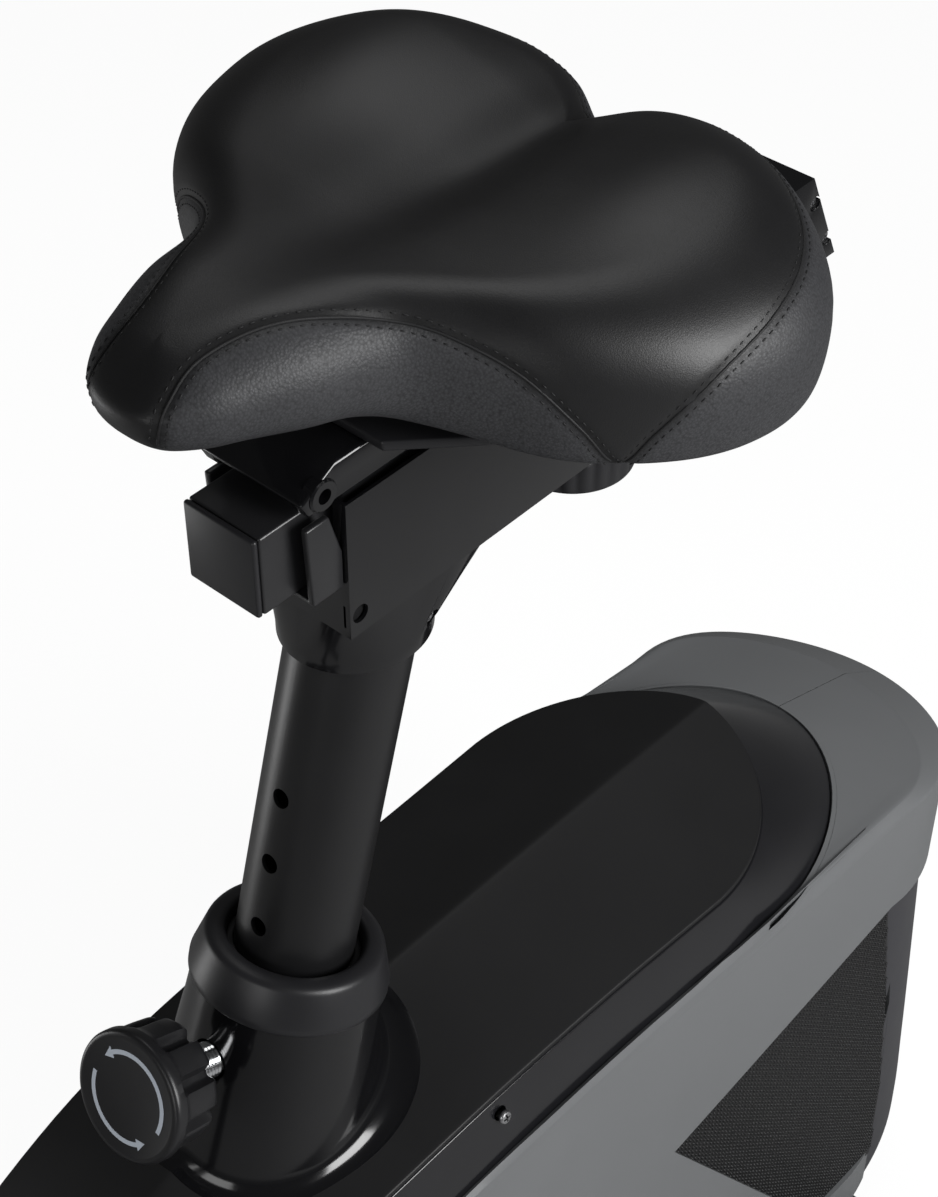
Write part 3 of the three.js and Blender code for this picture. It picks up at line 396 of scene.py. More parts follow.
class Shade:
    """One material and the single way its nodes are made."""

    def __init__(self, name):
        self.material = bpy.data.materials.new(name)
        self.material.use_nodes = True
        self.nodes = self.material.node_tree.nodes
        self.links = self.material.node_tree.links
        self.nodes.clear()

    def node(self, kind, settings=None, inputs=None, output=0):
        made = self.nodes.new(kind)
        for key, value in (settings or {}).items():
            if key == "stops":
                ramp = made.color_ramp
                while len(ramp.elements) < len(value):
                    ramp.elements.new(1)
                for element, (place, colour) in zip(ramp.elements, value):
                    element.position = place
                    element.color = (*colour, 1)
            else:
                setattr(made, key, value)
        for key, value in (inputs or {}).items():
            socket = made.inputs[key]
            if isinstance(value, Value):
                self.links.new(value.socket, socket)
            else:
                socket.default_value = value
        return Value(self, made.outputs[output])

    def place(self, stretch=(1, 1, 1), turn=(0, 0, 0)):
        """Object coordinates in millimetres."""
        coordinates = self.node("ShaderNodeTexCoord", output="Object")
        return self.node("ShaderNodeMapping", {}, {
            "Vector": coordinates, "Scale": tuple(s / MM for s in stretch), "Rotation": turn})

    def noise(self, size, detail=2.0, place=None, rough=0.5):
        """Soft noise whose features are about so many millimetres across."""
        return self.node("ShaderNodeTexNoise", {}, {
            "Vector": place or self.place(), "Scale": 1 / size, "Detail": detail, "Roughness": rough})

    def cells(self, size, place=None, feature="F1"):
        return self.node("ShaderNodeTexVoronoi", {"feature": feature}, {
            "Vector": place or self.place(), "Scale": 1 / size})

    def blend(self, share, first, second):
        return self.node("ShaderNodeMix", {"data_type": "RGBA"}, {
            0: share, 6: (*first, 1) if isinstance(first, tuple) else first,
            7: (*second, 1) if isinstance(second, tuple) else second}, output=2)

    def attribute(self, name):
        return self.node("ShaderNodeAttribute", {"attribute_name": name}, output="Fac")

    def bump(self, height, depth, normal=None):
        """Relief whose full height is so many millimetres."""
        inputs = {"Height": height, "Distance": depth * MM, "Strength": 1.0}
        if normal is not None:
            inputs["Normal"] = normal
        return self.node("ShaderNodeBump", {}, inputs)

    def done(self, **sockets):
        """Ends the material in one principled surface."""
        names = {"colour": "Base Color", "roughness": "Roughness", "metal": "Metallic", "normal": "Normal",
                 "specular": "Specular IOR Level", "coat": "Coat Weight", "coat_roughness": "Coat Roughness",
                 "sheen": "Sheen Weight", "alpha": "Alpha", "glow": "Emission Color",
                 "glow_strength": "Emission Strength"}
        inputs = {}
        for key, value in sockets.items():
            inputs[names[key]] = (*value, 1) if isinstance(value, tuple) else value
        surface = self.node("ShaderNodeBsdfPrincipled", {}, inputs)
        end = self.nodes.new("ShaderNodeOutputMaterial")
        self.links.new(surface.socket, end.inputs["Surface"])
        return self.material


def moulded(name, colour, roughness, grain=0.6, relief=0.03, vary=0.25, specular=0.5, coat=0.0, dust=0.0):
    """Moulded plastic: a fine grain, uneven gloss and a slight drift of its colour."""
    shade = Shade(name)
    drift = shade.noise(45, 3)
    fine = shade.noise(grain, 3, rough=0.6)
    tint = tuple(c * (1 + vary) + dust for c in colour)
    shadow = tuple(c * (1 - vary) for c in colour)
    base = shade.blend(drift * 0.6 + fine * 0.4, shadow, tint)
    rough = (roughness - 0.06 + drift * 0.08 + fine * 0.05).clamped(0.03, 1)
    return shade.done(colour=base, roughness=rough, specular=specular, coat=coat,
                      normal=shade.bump(fine + drift * 0.2, relief))


def gloss(name, colour, roughness=0.1, specular=0.5, wave=0.02):
    """Polished black plastic: faint flow waves and hairline wiping marks in its gloss."""
    shade = Shade(name)
    flow = shade.noise(30, 2)
    wipe = shade.noise(1.2, 2, place=shade.place(stretch=(1, 0.06, 1)))
    base = shade.blend(flow, colour, tuple(c * 1.5 for c in colour))
    rough = (roughness - 0.02 + flow * 0.05 + wipe * 0.03).clamped(0.03, 1)
    return shade.done(colour=base, roughness=rough, specular=specular, normal=shade.bump(flow, wave))


def paint(name, colour, roughness=0.33, specular=0.4):
    """Powder coat on steel: orange peel and a little sparkle."""
    shade = Shade(name)
    peel = shade.noise(1.4, 2)
    drift = shade.noise(60, 2)
    base = shade.blend(drift, tuple(c * 0.8 for c in colour), tuple(c * 1.35 for c in colour))
    return shade.done(colour=base, roughness=(roughness - 0.04 + peel * 0.06 + drift * 0.05).clamped(0.05, 1),
                      specular=specular, normal=shade.bump(peel, 0.02))


def metal(name, colour, roughness, brushed=(1, 1, 1), relief=0.008):
    """Bare or plated metal, brushed along the axis with the smallest stretch."""
    shade = Shade(name)
    lines = shade.noise(0.5, 3, place=shade.place(stretch=brushed))
    stain = shade.noise(25, 3)
    base = shade.blend(stain, tuple(c * 0.85 for c in colour), colour)
    rough = (roughness - 0.05 + lines * 0.1 + stain * 0.05).clamped(0.03, 1)
    return shade.done(colour=base, metal=1.0, roughness=rough,
                      normal=shade.bump(lines, relief))


def rubber(name, colour, roughness=0.72):
    shade = Shade(name)
    grit = shade.noise(0.7, 4, rough=0.7)
    wear = shade.noise(22, 3)
    base = shade.blend(wear, colour, tuple(c * 1.8 + 0.004 for c in colour))
    return shade.done(colour=base, roughness=(roughness - 0.08 + grit * 0.12 + wear * 0.06).clamped(0.1, 1),
                      specular=0.35, normal=shade.bump(grit, 0.06))


def vinyl(name):
    """Saddle cover: smooth top panels and grained, paler side panels, told apart by an attribute."""
    shade = Shade(name)
    panel = shade.attribute("grained_panel")
    seam = shade.attribute("seam_shade")
    pebble = shade.cells(1.15)
    small = shade.cells(0.6)
    pore = shade.noise(0.5, 3, rough=0.65)
    soft = shade.noise(35, 3)
    fine = shade.noise(1.6, 2)
    top = shade.blend(soft * 0.6 + pore * 0.4, (0.0042, 0.0042, 0.0046), (0.0095, 0.0095, 0.0102))
    side = shade.blend(pebble * 0.7 + pore * 0.5, (0.045, 0.046, 0.05), (0.013, 0.013, 0.0145))
    skin = shade.blend(panel, top, side)
    # The seam_shade attribute darkens the cover along the seam's groove: painted shade in the groove.
    base = shade.blend(seam, skin, (0.0022, 0.0022, 0.0024))
    rough_top = 0.36 + soft * 0.07 + small * 0.08
    rough_side = 0.44 + pebble * 0.14 + pore * 0.06
    rough = rough_top * (1 - panel) + rough_side * panel
    relief_top = small * 0.35 + pore * 0.3 + fine * 0.3
    relief_side = (1 - pebble) * 1.3 + pore * 0.7
    height = relief_top * (1 - panel) + relief_side * panel
    return shade.done(colour=base, roughness=rough.clamped(0.1, 1), specular=0.42, sheen=0.0,
                      normal=shade.bump(height, 0.085))


def screen(name):
    """A dark display window: a faint haze shows under the glass."""
    shade = Shade(name)
    haze = shade.noise(20, 2)
    base = shade.blend(haze, (0.012, 0.016, 0.017), (0.022, 0.027, 0.028))
    return shade.done(colour=base, roughness=(0.05 + haze * 0.05), specular=0.6, coat=1.0)


GLOSS = gloss("polished_black", (0.0035, 0.0035, 0.004), 0.11, 0.5)
BAND = gloss("polished_band", (0.006, 0.006, 0.007), 0.17, 0.5)
DECK = moulded("satin_deck", (0.0085, 0.0085, 0.009), 0.46, 0.5, 0.012, specular=0.28)
SATIN = moulded("satin_black", (0.012, 0.012, 0.0135), 0.38, 0.8, 0.02, specular=0.4)
KNOB = moulded("knob_black", (0.009, 0.009, 0.01), 0.36, 0.7, 0.03, specular=0.42)
POST = paint("post_black", (0.0065, 0.0065, 0.007), 0.34, 0.4)
PAINT = paint("frame_black", (0.012, 0.012, 0.013), 0.3, 0.45)
GREY = moulded("shell_grey", (0.118, 0.122, 0.126), 0.5, 0.9, 0.035, vary=0.06, specular=0.4)
REAR = moulded("rear_slate", (0.022, 0.022, 0.027), 0.42, 0.8, 0.03, specular=0.4)
MESH = moulded("mesh_black", (0.0045, 0.0045, 0.005), 0.42, 0.5, 0.02, specular=0.4)
VINYL = vinyl("saddle_vinyl")
THREAD = rubber("stitch_thread", (0.004, 0.004, 0.0045), 0.6)
RUBBER = rubber("soft_black", (0.012, 0.012, 0.0125))
CHROME = metal("bright_chrome", (0.78, 0.79, 0.81), 0.12)
STEEL = metal("turned_steel", (0.5, 0.5, 0.51), 0.32, (0.05, 1, 1))
IRON = metal("machined_iron", (0.2, 0.2, 0.21), 0.42, (0.05, 1, 1), 0.02)
PRINT = moulded("printed_arrows", (0.42, 0.46, 0.52), 0.5, 0.6, 0.004, vary=0.08)
SCREEN = screen("display_window")
BUTTON = moulded("button_grey", (0.3, 0.31, 0.32), 0.45, 0.7, 0.02, vary=0.1)
# Used only for the plate inside the cowl's empty hole: painted shade.
PAINTED_HOLE_SHADE = moulded("painted_hole_shade_black", (0.004, 0.004, 0.0045), 0.7, 0.8, 0.02, specular=0.2)
BELT = rubber("belt_black", (0.01, 0.01, 0.0105), 0.65)


def fitted(piece, material, body, slot, *nodes):
    """Gives a piece its finish and its body, in place of these CAD nodes."""
    piece.data.materials.clear()
    piece.data.materials.append(material)
    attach(piece, body)
    if nodes:
        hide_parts(*nodes)
    return piece


def prism(name, outline, origin, across, up, low_reach, high_reach):
    """An outline in the plane of two directions, carried along the direction square to both."""
    across, up, origin = Vector(across).normalized(), Vector(up).normalized(), Vector(origin)
    out = across.cross(up)
    rings = [[origin + across * u + up * v + out * w for u, v in outline] for w in (low_reach, high_reach)]
    count = len(outline)
    faces = [(i, (i + 1) % count, count + (i + 1) % count, count + i) for i in range(count)]
    faces += [tuple(range(count - 1, -1, -1)), tuple(range(count, 2 * count))]
    return outward(mesh_piece(name, rings[0] + rings[1], faces))


def softened(points, reaches, steps=4):
    """An open line with each of its corners rounded over so many millimetres."""
    line = [Vector(p) for p in points]
    out = [line[0]]
    for before, corner, after, reach in zip(line, line[1:], line[2:], reaches):
        back, on = before - corner, after - corner
        start = corner + back.normalized() * min(reach, back.length * 0.45)
        end = corner + on.normalized() * min(reach, on.length * 0.45)
        for k in range(steps + 1):
            t = k / steps
            out.append(start * (1 - t) ** 2 + corner * (2 * t * (1 - t)) + end * t * t)
    out.append(line[-1])
    return out


def skin(name, lines, closed=False, both_sides=False):
    """A skin over open lines of equal counts; both_sides adds its mirror image across the bike."""
    count = len(lines[0])
    points = [p for line in lines for p in line]
    faces = []
    for k in range(len(lines) if closed else len(lines) - 1):
        n = (k + 1) % len(lines)
        for i in range(count - 1):
            faces.append((k * count + i, k * count + i + 1, n * count + i + 1, n * count + i))
    if both_sides:
        total = len(points)
        points = points + [Vector((-p.x, p.y, p.z)) for p in points]
        faces += [tuple(total + i for i in reversed(face)) for face in faces]
    return outward(mesh_piece(name, points, faces))


def mirrored(piece, name):
    """A copy on the other side of the bike."""
    mesh = piece.data.copy()
    copy = bpy.data.objects.new(name, mesh)
    bpy.context.scene.collection.objects.link(copy)
    bm = bmesh.new()
    bm.from_mesh(mesh)
    for vertex in bm.verts:
        vertex.co.x = -vertex.co.x
    bmesh.ops.reverse_faces(bm, faces=bm.faces)
    bm.to_mesh(mesh)
    bm.free()
    return copy


def repeated(name, spots, size, material, round_off=True):
    """Small beads or studs on a surface; each spot is (place, along, out), in millimetres."""
    mesh = bpy.data.meshes.new(f"{name}_spots")
    mesh.from_pydata([tuple(Vector(place) * MM) for place, _, _ in spots], [], [])
    for key, index in (("lie_along", 1), ("lie_out", 2)):
        layer = mesh.attributes.new(key, "FLOAT_VECTOR", "POINT")
        for item, spot in zip(layer.data, spots):
            item.vector = spot[index]
    holder = bpy.data.objects.new(f"{name}_spots", mesh)
    bpy.context.scene.collection.objects.link(holder)
    tree = bpy.data.node_groups.new(f"{name}_repeat", "GeometryNodeTree")
    tree.interface.new_socket("Geometry", in_out="INPUT", socket_type="NodeSocketGeometry")
    scale_in = tree.interface.new_socket("Size", in_out="INPUT", socket_type="NodeSocketVector")
    finish_in = tree.interface.new_socket("Finish", in_out="INPUT", socket_type="NodeSocketMaterial")
    tree.interface.new_socket("Geometry", in_out="OUTPUT", socket_type="NodeSocketGeometry")
    nodes, links = tree.nodes, tree.links
    start, end = nodes.new("NodeGroupInput"), nodes.new("NodeGroupOutput")
    if round_off:
        unit = nodes.new("GeometryNodeMeshIcoSphere")
        unit.inputs["Radius"].default_value = 0.5
        unit.inputs["Subdivisions"].default_value = 2
    else:
        unit = nodes.new("GeometryNodeMeshCone")
        unit.inputs["Vertices"].default_value = 8
        unit.inputs["Radius Top"].default_value = 0.22
        unit.inputs["Radius Bottom"].default_value = 0.5
        unit.inputs["Depth"].default_value = 1.0
    put = nodes.new("GeometryNodeInstanceOnPoints")
    turn = None
    for key, axis in (("lie_along", "X"), ("lie_out", "Z")):
        read = nodes.new("GeometryNodeInputNamedAttribute")
        read.data_type = "FLOAT_VECTOR"
        read.inputs["Name"].default_value = key
        align = nodes.new("FunctionNodeAlignRotationToVector")
        align.axis = axis
        links.new(read.outputs["Attribute"], align.inputs["Vector"])
        if turn is not None:
            align.pivot_axis = "X"
            links.new(turn.outputs[0], align.inputs["Rotation"])
        turn = align
    real = nodes.new("GeometryNodeRealizeInstances")
    dress = nodes.new("GeometryNodeSetMaterial")
    links.new(start.outputs["Geometry"], put.inputs["Points"])
    links.new(unit.outputs[0], put.inputs["Instance"])
    links.new(turn.outputs[0], put.inputs["Rotation"])
    links.new(start.outputs["Size"], put.inputs["Scale"])
    links.new(put.outputs[0], real.inputs[0])
    links.new(real.outputs[0], dress.inputs[0])
    links.new(start.outputs["Finish"], dress.inputs["Material"])
    links.new(dress.outputs[0], end.inputs["Geometry"])
    change = holder.modifiers.new("repeat", "NODES")
    change.node_group = tree
    change[scale_in.identifier] = tuple(s * MM for s in size)
    change[finish_in.identifier] = material
    bpy.context.view_layer.update()
    made = bpy.data.meshes.new_from_object(holder.evaluated_get(bpy.context.evaluated_depsgraph_get()))
    bpy.data.objects.remove(holder)
    piece = bpy.data.objects.new(name, made)
    bpy.context.scene.collection.objects.link(piece)
    return shaded(piece, 60)


# ------------------------------------------------------------------ drive housing
DECK_LINE = [(-330, 190), (-280, 138), (-200, 78), (-120, 34), (-60, 14), (0, 4), (87, 0), (250, 3), (351, 7)]
DECK_SHARES = [(-316, .34), (-305, .5), (-280, .64), (-230, .76), (-150, .85), (0, .935), (160, .965),
               (251, 1)]
SHELL_SHARES = [(-336, .34), (-325, .52), (-300, .66), (-250, .78), (-150, .86), (0, .92), (150, .95),
                (300, .98), (430, 1)]
CREASE_DROPS = [(-336, 4), (46, 5), (300, 14), (422, 16), (545, 52)]
SHELF_DROPS = [(-336, 1), (46, 2), (300, 4), (430, 11), (504, 25)]
REAR_BULGE = [(70, 590), (80, 590), (160, 580), (270, 562), (430, 532)]
DECK_FRONT, DECK_REAR, DECK_ARC = -316, 351, 100
FOOT_REAR, FOOT_ARC = 429, 148
CAP_CENTRE, CAP_REAR, SHELF_REAR = 430, 545, 504


def deck_half(y):
    return DECK_HALF * smooth_table(DECK_SHARES, y)


def shell_half(y):
    return SHELL_HALF * smooth_table(SHELL_SHARES, y)


def deck_line(y):
    return DECK_HEIGHT - smooth_table(DECK_LINE, y)


def roof(x, y):
    """The deck's height: a soft ridge that falls to both sides."""
    return deck_line(y) - DECK_DROP / DECK_HALF * (math.hypot(x, 1.6) - 1.6)


def border(y):
    return deck_line(y) - DECK_DROP - BAND_HEIGHT


def half_outline(half_at, front, centre, rear, height_at, straight=46, arc=26):
    """The left half of a plan outline, from the middle of its front round to the middle of its rear."""
    nose = 14
    plan = []
    for k in range(9):
        angle = math.pi / 2 * k / 8
        plan.append((half_at(front + nose) * math.sin(angle), front + nose * (1 - math.cos(angle))))
    for k in range(1, straight + 1):
        y = mix(front + nose, centre, k / straight)
        plan.append((half_at(y), y))
    for k in range(1, arc + 1):
        angle = math.pi / 2 * k / arc
        plan.append((half_at(centre) * math.cos(angle), centre + (rear - centre) * math.sin(angle)))
    return [Vector((max(x, 0), y, height_at(y))) for x, y in plan]


deck_edge = half_outline(deck_half, DECK_FRONT, DECK_REAR - DECK_ARC, DECK_REAR, lambda y: 0)
band_foot = half_outline(lambda y: deck_half(y - 10) + BAND_GROW, DECK_FRONT - BAND_GROW,
                         FOOT_REAR - FOOT_ARC, FOOT_REAR, border)
shell_foot = half_outline(shell_half, SHELL_FRONT, CAP_CENTRE, CAP_REAR, lambda y: SHELL_BOTTOM)
shell_crease = half_outline(shell_half, SHELL_FRONT, CAP_CENTRE, CAP_REAR,
                            lambda y: border(y) - smooth_table(CREASE_DROPS, y))
shell_shelf = half_outline(lambda y: shell_half(y) - 5, SHELL_FRONT + 4, CAP_CENTRE - 8, SHELF_REAR,
                           lambda y: border(y) - smooth_table(SHELF_DROPS, y))

deck_lines = []
for edge in deck_edge:
    line = [Vector((edge.x * s, edge.y, roof(edge.x * s, edge.y)))
            for s in (0, 0.012, 0.03, 0.06, 0.12, 0.25, 0.5, 0.8, 0.97)]
    rim = Vector((edge.x, edge.y, roof(edge.x, edge.y)))
    line += softened([line[-1], rim, rim - Vector((0, 0, 3.4))], [1.1])[1:]
    deck_lines.append(line)
deck_cover = walled(skin("deck_cover_skin", deck_lines, both_sides=True), 3)
cut(deck_cover, rod("post_way", on_post(240), on_post(560), 35.1))
fitted(shaded(deck_cover, 32), DECK, "frame", "satin_black", "deck_cover")

band_lines = []
for edge, foot in zip(deck_edge, band_foot):
    top = Vector((edge.x * 0.985, edge.y - 0.4 * (edge.y > DECK_REAR - DECK_ARC), roof(edge.x, edge.y) - 2.2))
    shoulder = Vector((edge.x + min(edge.x, 0.9), edge.y, roof(edge.x, edge.y) - 2.6))
    heel = Vector((foot.x, foot.y, foot.z + 0.6))
    band_lines.append(softened([top, shoulder, heel, heel - Vector((0, 0, 5))], [0.8, 0.8]))
deck_surround = walled(skin("deck_surround_skin", band_lines, both_sides=True), 2.4)
SURROUND_SCREW = Vector((91.5, 74, BEAM_TOP - 384))
screw_start, screw_end = (SURROUND_SCREW + Vector((reach, 0, 0)) for reach in (-21.5, 18.5))
cut(deck_surround, rod("screw_way", screw_start, screw_end, 4.2, 24))
fitted(shaded(deck_surround, 34), BAND, "frame", "gloss_black", "deck_surround")

shell_lines = []
for foot, crease, shelf, edge in zip(shell_foot, shell_crease, shell_shelf, band_foot):
    lip = edge + Vector((min(edge.x, 0.9), 0.8 if edge.y > FOOT_REAR - FOOT_ARC else 0, 0.8))
    line = softened([foot, crease, shelf, lip, lip - Vector((0, 0, 6))], [3.2, 2.6, 0.9])
    shell_lines.append([Vector((max(p.x, 0.28), p.y, p.z)) for p in line])
WINDOW = [(217, 369), (425, 407), (447, 290), (461, 180), (464, 110), (390, 110)]
REAR_ZONE = [(425, 407), (560, 383), (700, 360), (700, 0), (466, 0), (464, 110), (461, 180), (447, 290)]
shell = walled(skin("side_shell_left_skin", shell_lines), 3)
crank_y = on_post((BEAM_TOP - CRANK_HEIGHT) / math.cos(POST_LEAN)).y
cut(shell, slab("window", WINDOW, 0, 200), slab("zone", REAR_ZONE, -20, 200),
    rod("crank_way", (20, crank_y, CRANK_HEIGHT), (200, crank_y, CRANK_HEIGHT), 24),
    block("beam_way", -40, 32, -400, -250, 0, 104))
other_shell = mirrored(shell, "side_shell_right_skin")
for side, piece in (("left", shell), ("right", other_shell)):
    fitted(shaded(piece, 30), GREY, "frame", "grey_shell", f"side_shell_{side}")

rear_lines = []
for k in range(58):
    line = []
    for z in [70, 74, 80] + [80 + 20 * i for i in range(1, 19)]:
        rear = smooth_table(REAR_BULGE, z)
        if k < 26:
            y = mix(380, CAP_CENTRE, k / 26)
            x = shell_half(y) - 4
        else:
            angle = math.pi / 2 * (k - 26) / 31
            x = (SHELL_HALF - 4) * math.cos(angle)
            y = CAP_CENTRE + (rear - CAP_CENTRE) * math.sin(angle)
        line.append(Vector((max(x, 0), y, z)))
    rear_lines.append(line)
rear_cover = walled(skin("rear_cover_skin", rear_lines, both_sides=True), 3)
inner_zone = [(425.3, 406.7), (560, 382.7), (700, 359.7), (700, 0), (466.3, 0), (464.3, 110), (461.3, 180),
              (447.3, 290)]
combined(rear_cover, slab("rear_zone", inner_zone, -200, 200), "INTERSECT")
fitted(shaded(rear_cover, 32), REAR, "frame", "satin_black", "rear_cover")


def inside(outline, y, z):
    """Whether a point lies in a (y, z) outline."""
    found = False
    for (ya, za), (yb, zb) in zip(outline, outline[1:] + outline[:1]):
        if (za > z) != (zb > z) and y < (yb - ya) * (z - za) / (zb - za) + ya:
            found = not found
    return found


MESH_PITCH = 3.7
mesh_lines = [[Vector((shell_half(y) - 4.6, y, z)) for z in (100, 260, 414)]
              for y in [205 + 9 * i for i in range(30)]]
panel = walled(skin("mesh_grille_left_skin", mesh_lines), -1.6)
lapped = [(207, 369), (423.8, 412), (445.8, 290), (459.8, 180), (462.8, 105), (385, 105)]
combined(panel, slab("lap", lapped, 0, 200), "INTERSECT")
studs = []
for row in range(84):
    z = 110 + MESH_PITCH * row
    for column in range(70):
        y = 214 + MESH_PITCH * column
        if all(inside(WINDOW, y + dy, z + dz) for dy, dz in ((1.2, -1.2), (-1.2, 1.2), (1, 2))):
            studs.append(((shell_half(y) - 3.9, y, z), (0, 1, 0), (1, 0, 0)))
joined(shaded(panel), repeated("studs", studs, (3.3, 3.3, 1.7), MESH, round_off=False))
other_panel = mirrored(panel, "mesh_grille_right_skin")
fitted(panel, MESH, "frame", "mesh_black", "mesh_grille_left")
fitted(other_panel, MESH, "frame", "mesh_black", "mesh_grille_right")


def screw(name, centre, direction, radius, material, body, slot):
    """A pan-head screw with a cross recess, its head's top at the centre."""
    way = Vector(direction).normalized()
    head = turned(name, [(0, 0), (radius * 0.5, -0.1), (radius * 0.85, -0.5), (radius, -1.3), (radius, -2.4),
                         (radius * 0.5, -2.6), (radius * 0.5, -6), (0, -6)], centre, way, 40)
    first, second = across_frame(way)
    for u, v in ((first, second), (second, first)):
        sign = 1 if u.cross(v).dot(way) > 0 else -1
        bar = [(-radius * 0.62, -0.55), (radius * 0.62, -0.55), (radius * 0.62, 0.55), (-radius * 0.62, 0.55)]
        cut(head, prism("cross", bar, centre, u, v, *sorted((-1.5 * sign, 1.0 * sign))))
    return fitted(shaded(rounded(head, 0.12, 2)), material, body, slot)


screw("surround_screw", SURROUND_SCREW, (0.97, 0, 0.24), 3.7, STEEL, "frame", "gloss_black")

# ------------------------------------------------------------------ neck, collar and seat post
POST_SIDE = Vector((1, 0, 0))
POST_BACK = POST_UP.cross(POST_SIDE)
NECK_START = COLLAR_TOP + COLLAR_HEIGHT + 0.3
NECK = [(0, 46), (20, 47.5), (36, 49.2), (60, 51.5), (140, 58)]
neck_lines = []
for k in range(128):
    angle = 2 * math.pi * k / 128
    out = POST_SIDE * math.cos(angle) + POST_BACK * math.sin(angle)
    flat = Vector((out.x, out.y, 0)).normalized()
    low_h, high_h = 0.0, 140.0
    for _ in range(24):
        middle = (low_h + high_h) / 2
        p = on_post(NECK_START + middle) + out * smooth_table(NECK, middle)
        if p.z > roof(p.x, p.y):
            low_h = middle
        else:
            high_h = middle
    back = max(0.0, flat.dot(Vector((0.35, 0.94, 0)))) ** 2
    reach = 8 + 17 * back
    rise = 9 + 24 * back
    corner = on_post(NECK_START + low_h) + out * smooth_table(NECK, low_h)
    toe = corner + flat * reach
    toe.z = roof(toe.x, toe.y) + 0.2
    top_h = max(low_h - rise, 3)
    shoulder = on_post(NECK_START + top_h) + out * smooth_table(NECK, top_h)
    line = [on_post(NECK_START) + out * 36, on_post(NECK_START) + out * 45.3,
            on_post(NECK_START + 0.7) + out * 46.1]
    line += [on_post(NECK_START + top_h * s) + out * smooth_table(NECK, top_h * s) for s in (0.25, 0.5, 0.75)]
    line += [shoulder * (1 - t) ** 2 + corner * (2 * t * (1 - t)) + toe * t * t
             for t in (0, 0.1, 0.2, 0.3, 0.4, 0.5, 0.6, 0.7, 0.8, 0.9, 1)]
    line += [toe - Vector((0, 0, 1.4)), on_post(NECK_START + low_h) + out * 40 - Vector((0, 0, 4)),
             on_post(NECK_START + low_h) + out * 36, on_post(NECK_START) + out * 36]
    neck_lines.append(line)
neck = skin("neck_cover_skin", neck_lines, closed=True)
cut(neck, rod("bush_way", on_pin(24), on_pin(90), 10.5))
fitted(shaded(neck, 40), GLOSS, "frame", "gloss_black", "neck_cover")

collar_profile = [(33, 2), (35, 0), (46.2, 0), (47.7, 0.4), (48.2, 1.5), (48.2, 5), (43.6, 20.5),
                  (43.2, 21.6), (42.6, 22.6), (41.6, 23.5), (40.2, 24.2), (38, 24.8), (36, 25), (34.6, 24.7),
                  (33.4, 23.8), (32.7, 22.4), (32.3, 20), (32.3, 4)]
collar = turned("post_collar_skin", collar_profile, on_post(COLLAR_TOP + COLLAR_HEIGHT), POST_UP, 128)
fitted(shaded(collar, 40), SATIN, "frame", "satin_black", "post_collar")

post = turned("seat_post_skin", [(26.3, 0), (POST_RADIUS - 0.6, 0), (POST_RADIUS, 0.6), (POST_RADIUS, 430),
                                 (26.3, 430)], on_post(430), POST_UP, 128)
cut(post, block("above", -60, 60, -100, 300, low("head_rail").z - 0.3, BEAM_TOP + 300))
for i in range(HOLE_COUNT):
    centre = on_post(FIRST_HOLE + i * HOLE_PITCH)
    cut(post, rod("hole", centre, centre + PIN_OUT * 45, 4.8, 32))
fitted(shaded(post, 30), POST, "post", "satin_black", "seat_post")

# ------------------------------------------------------------------ plunger
PIN_SIDE = Vector((1, 0, 0))
PIN_UP = PIN_OUT.cross(PIN_SIDE)
thread = [(4.2, 0), (8.6, 0)]
for k in range(17):
    thread += [(9.0, 0.8 + 2 * k), (8.5, 1.8 + 2 * k)]
thread += [(8.4, 34), (4.2, 34)]
fitted(shaded(turned("plunger_bush_skin", thread, on_pin(31.8), PIN_OUT, 64), 50), CHROME, "frame", "chrome",
       "plunger_bush")
fitted(shaded(rod("plunger_pin_skin", on_pin(29.8), on_pin(94.8), 4)), STEEL, "plunger", "steel",
       "plunger_pin")
KNOB_PROFILE = [(27.6, .35), (28.2, 0.1), (29.6, 0), (30.8, 0.25), (31.7, 0.9), (32.15, 1.9), (32.2, 3),
                (32.2, 6.2), (31.9, 7.2), (31.2, 8.4), (30.6, 11), (30.3, 19), (29.8, 26), (28.8, 28.6),
                (27, 30), (22, 30)]
knob_lines = []
for k in range(192):
    angle = 2 * math.pi * k / 192
    out = PIN_SIDE * math.cos(angle) + PIN_UP * math.sin(angle)
    flute = smoothstep(0.25, 0.9, math.cos(9 * angle))
    line = [on_pin(KNOB_REACH - 0.35) + out * 1.5]
    for r, depth in KNOB_PROFILE:
        dip = 4.6 * flute * smoothstep(6.4, 9.5, depth) * (1 if r > 23 else 0)
        line.append(on_pin(KNOB_REACH - depth) + out * (r - dip))
    line += [on_pin(KNOB_REACH - 30) + out * 4.4, on_pin(KNOB_REACH - 5.4) + out * 4.4,
             on_pin(KNOB_REACH - 5.2) + out * 1.5, on_pin(KNOB_REACH - 0.35) + out * 1.5]
    knob_lines.append(line)
knob = skin("plunger_knob_skin", knob_lines, closed=True)
joined(knob, rod("knob_middle", on_pin(KNOB_REACH - 5.2), on_pin(KNOB_REACH - 0.35), 1.6, 24))
fitted(shaded(knob, 42), KNOB, "plunger_knob", "satin_black", "plunger_knob")


def arrow_arc(radius, start, end, width, head):
    """An outline of a curved arrow; its head is at the end angle."""
    angles = [math.radians(mix(start, end, k / 28)) for k in range(29)]
    far, near = radius + width / 2, radius - width / 2
    outer = [(far * math.cos(a), far * math.sin(a)) for a in angles]
    inner = [(near * math.cos(a), near * math.sin(a)) for a in reversed(angles)]
    a = angles[-1]
    turn = 1 if end > start else -1
    tip = a + turn * head / radius
    wide = 2.9
    return outer + [((radius + wide) * math.cos(a), (radius + wide) * math.sin(a)),
                    (radius * math.cos(tip), radius * math.sin(tip)),
                    ((radius - wide) * math.cos(a), (radius - wide) * math.sin(a))] + inner


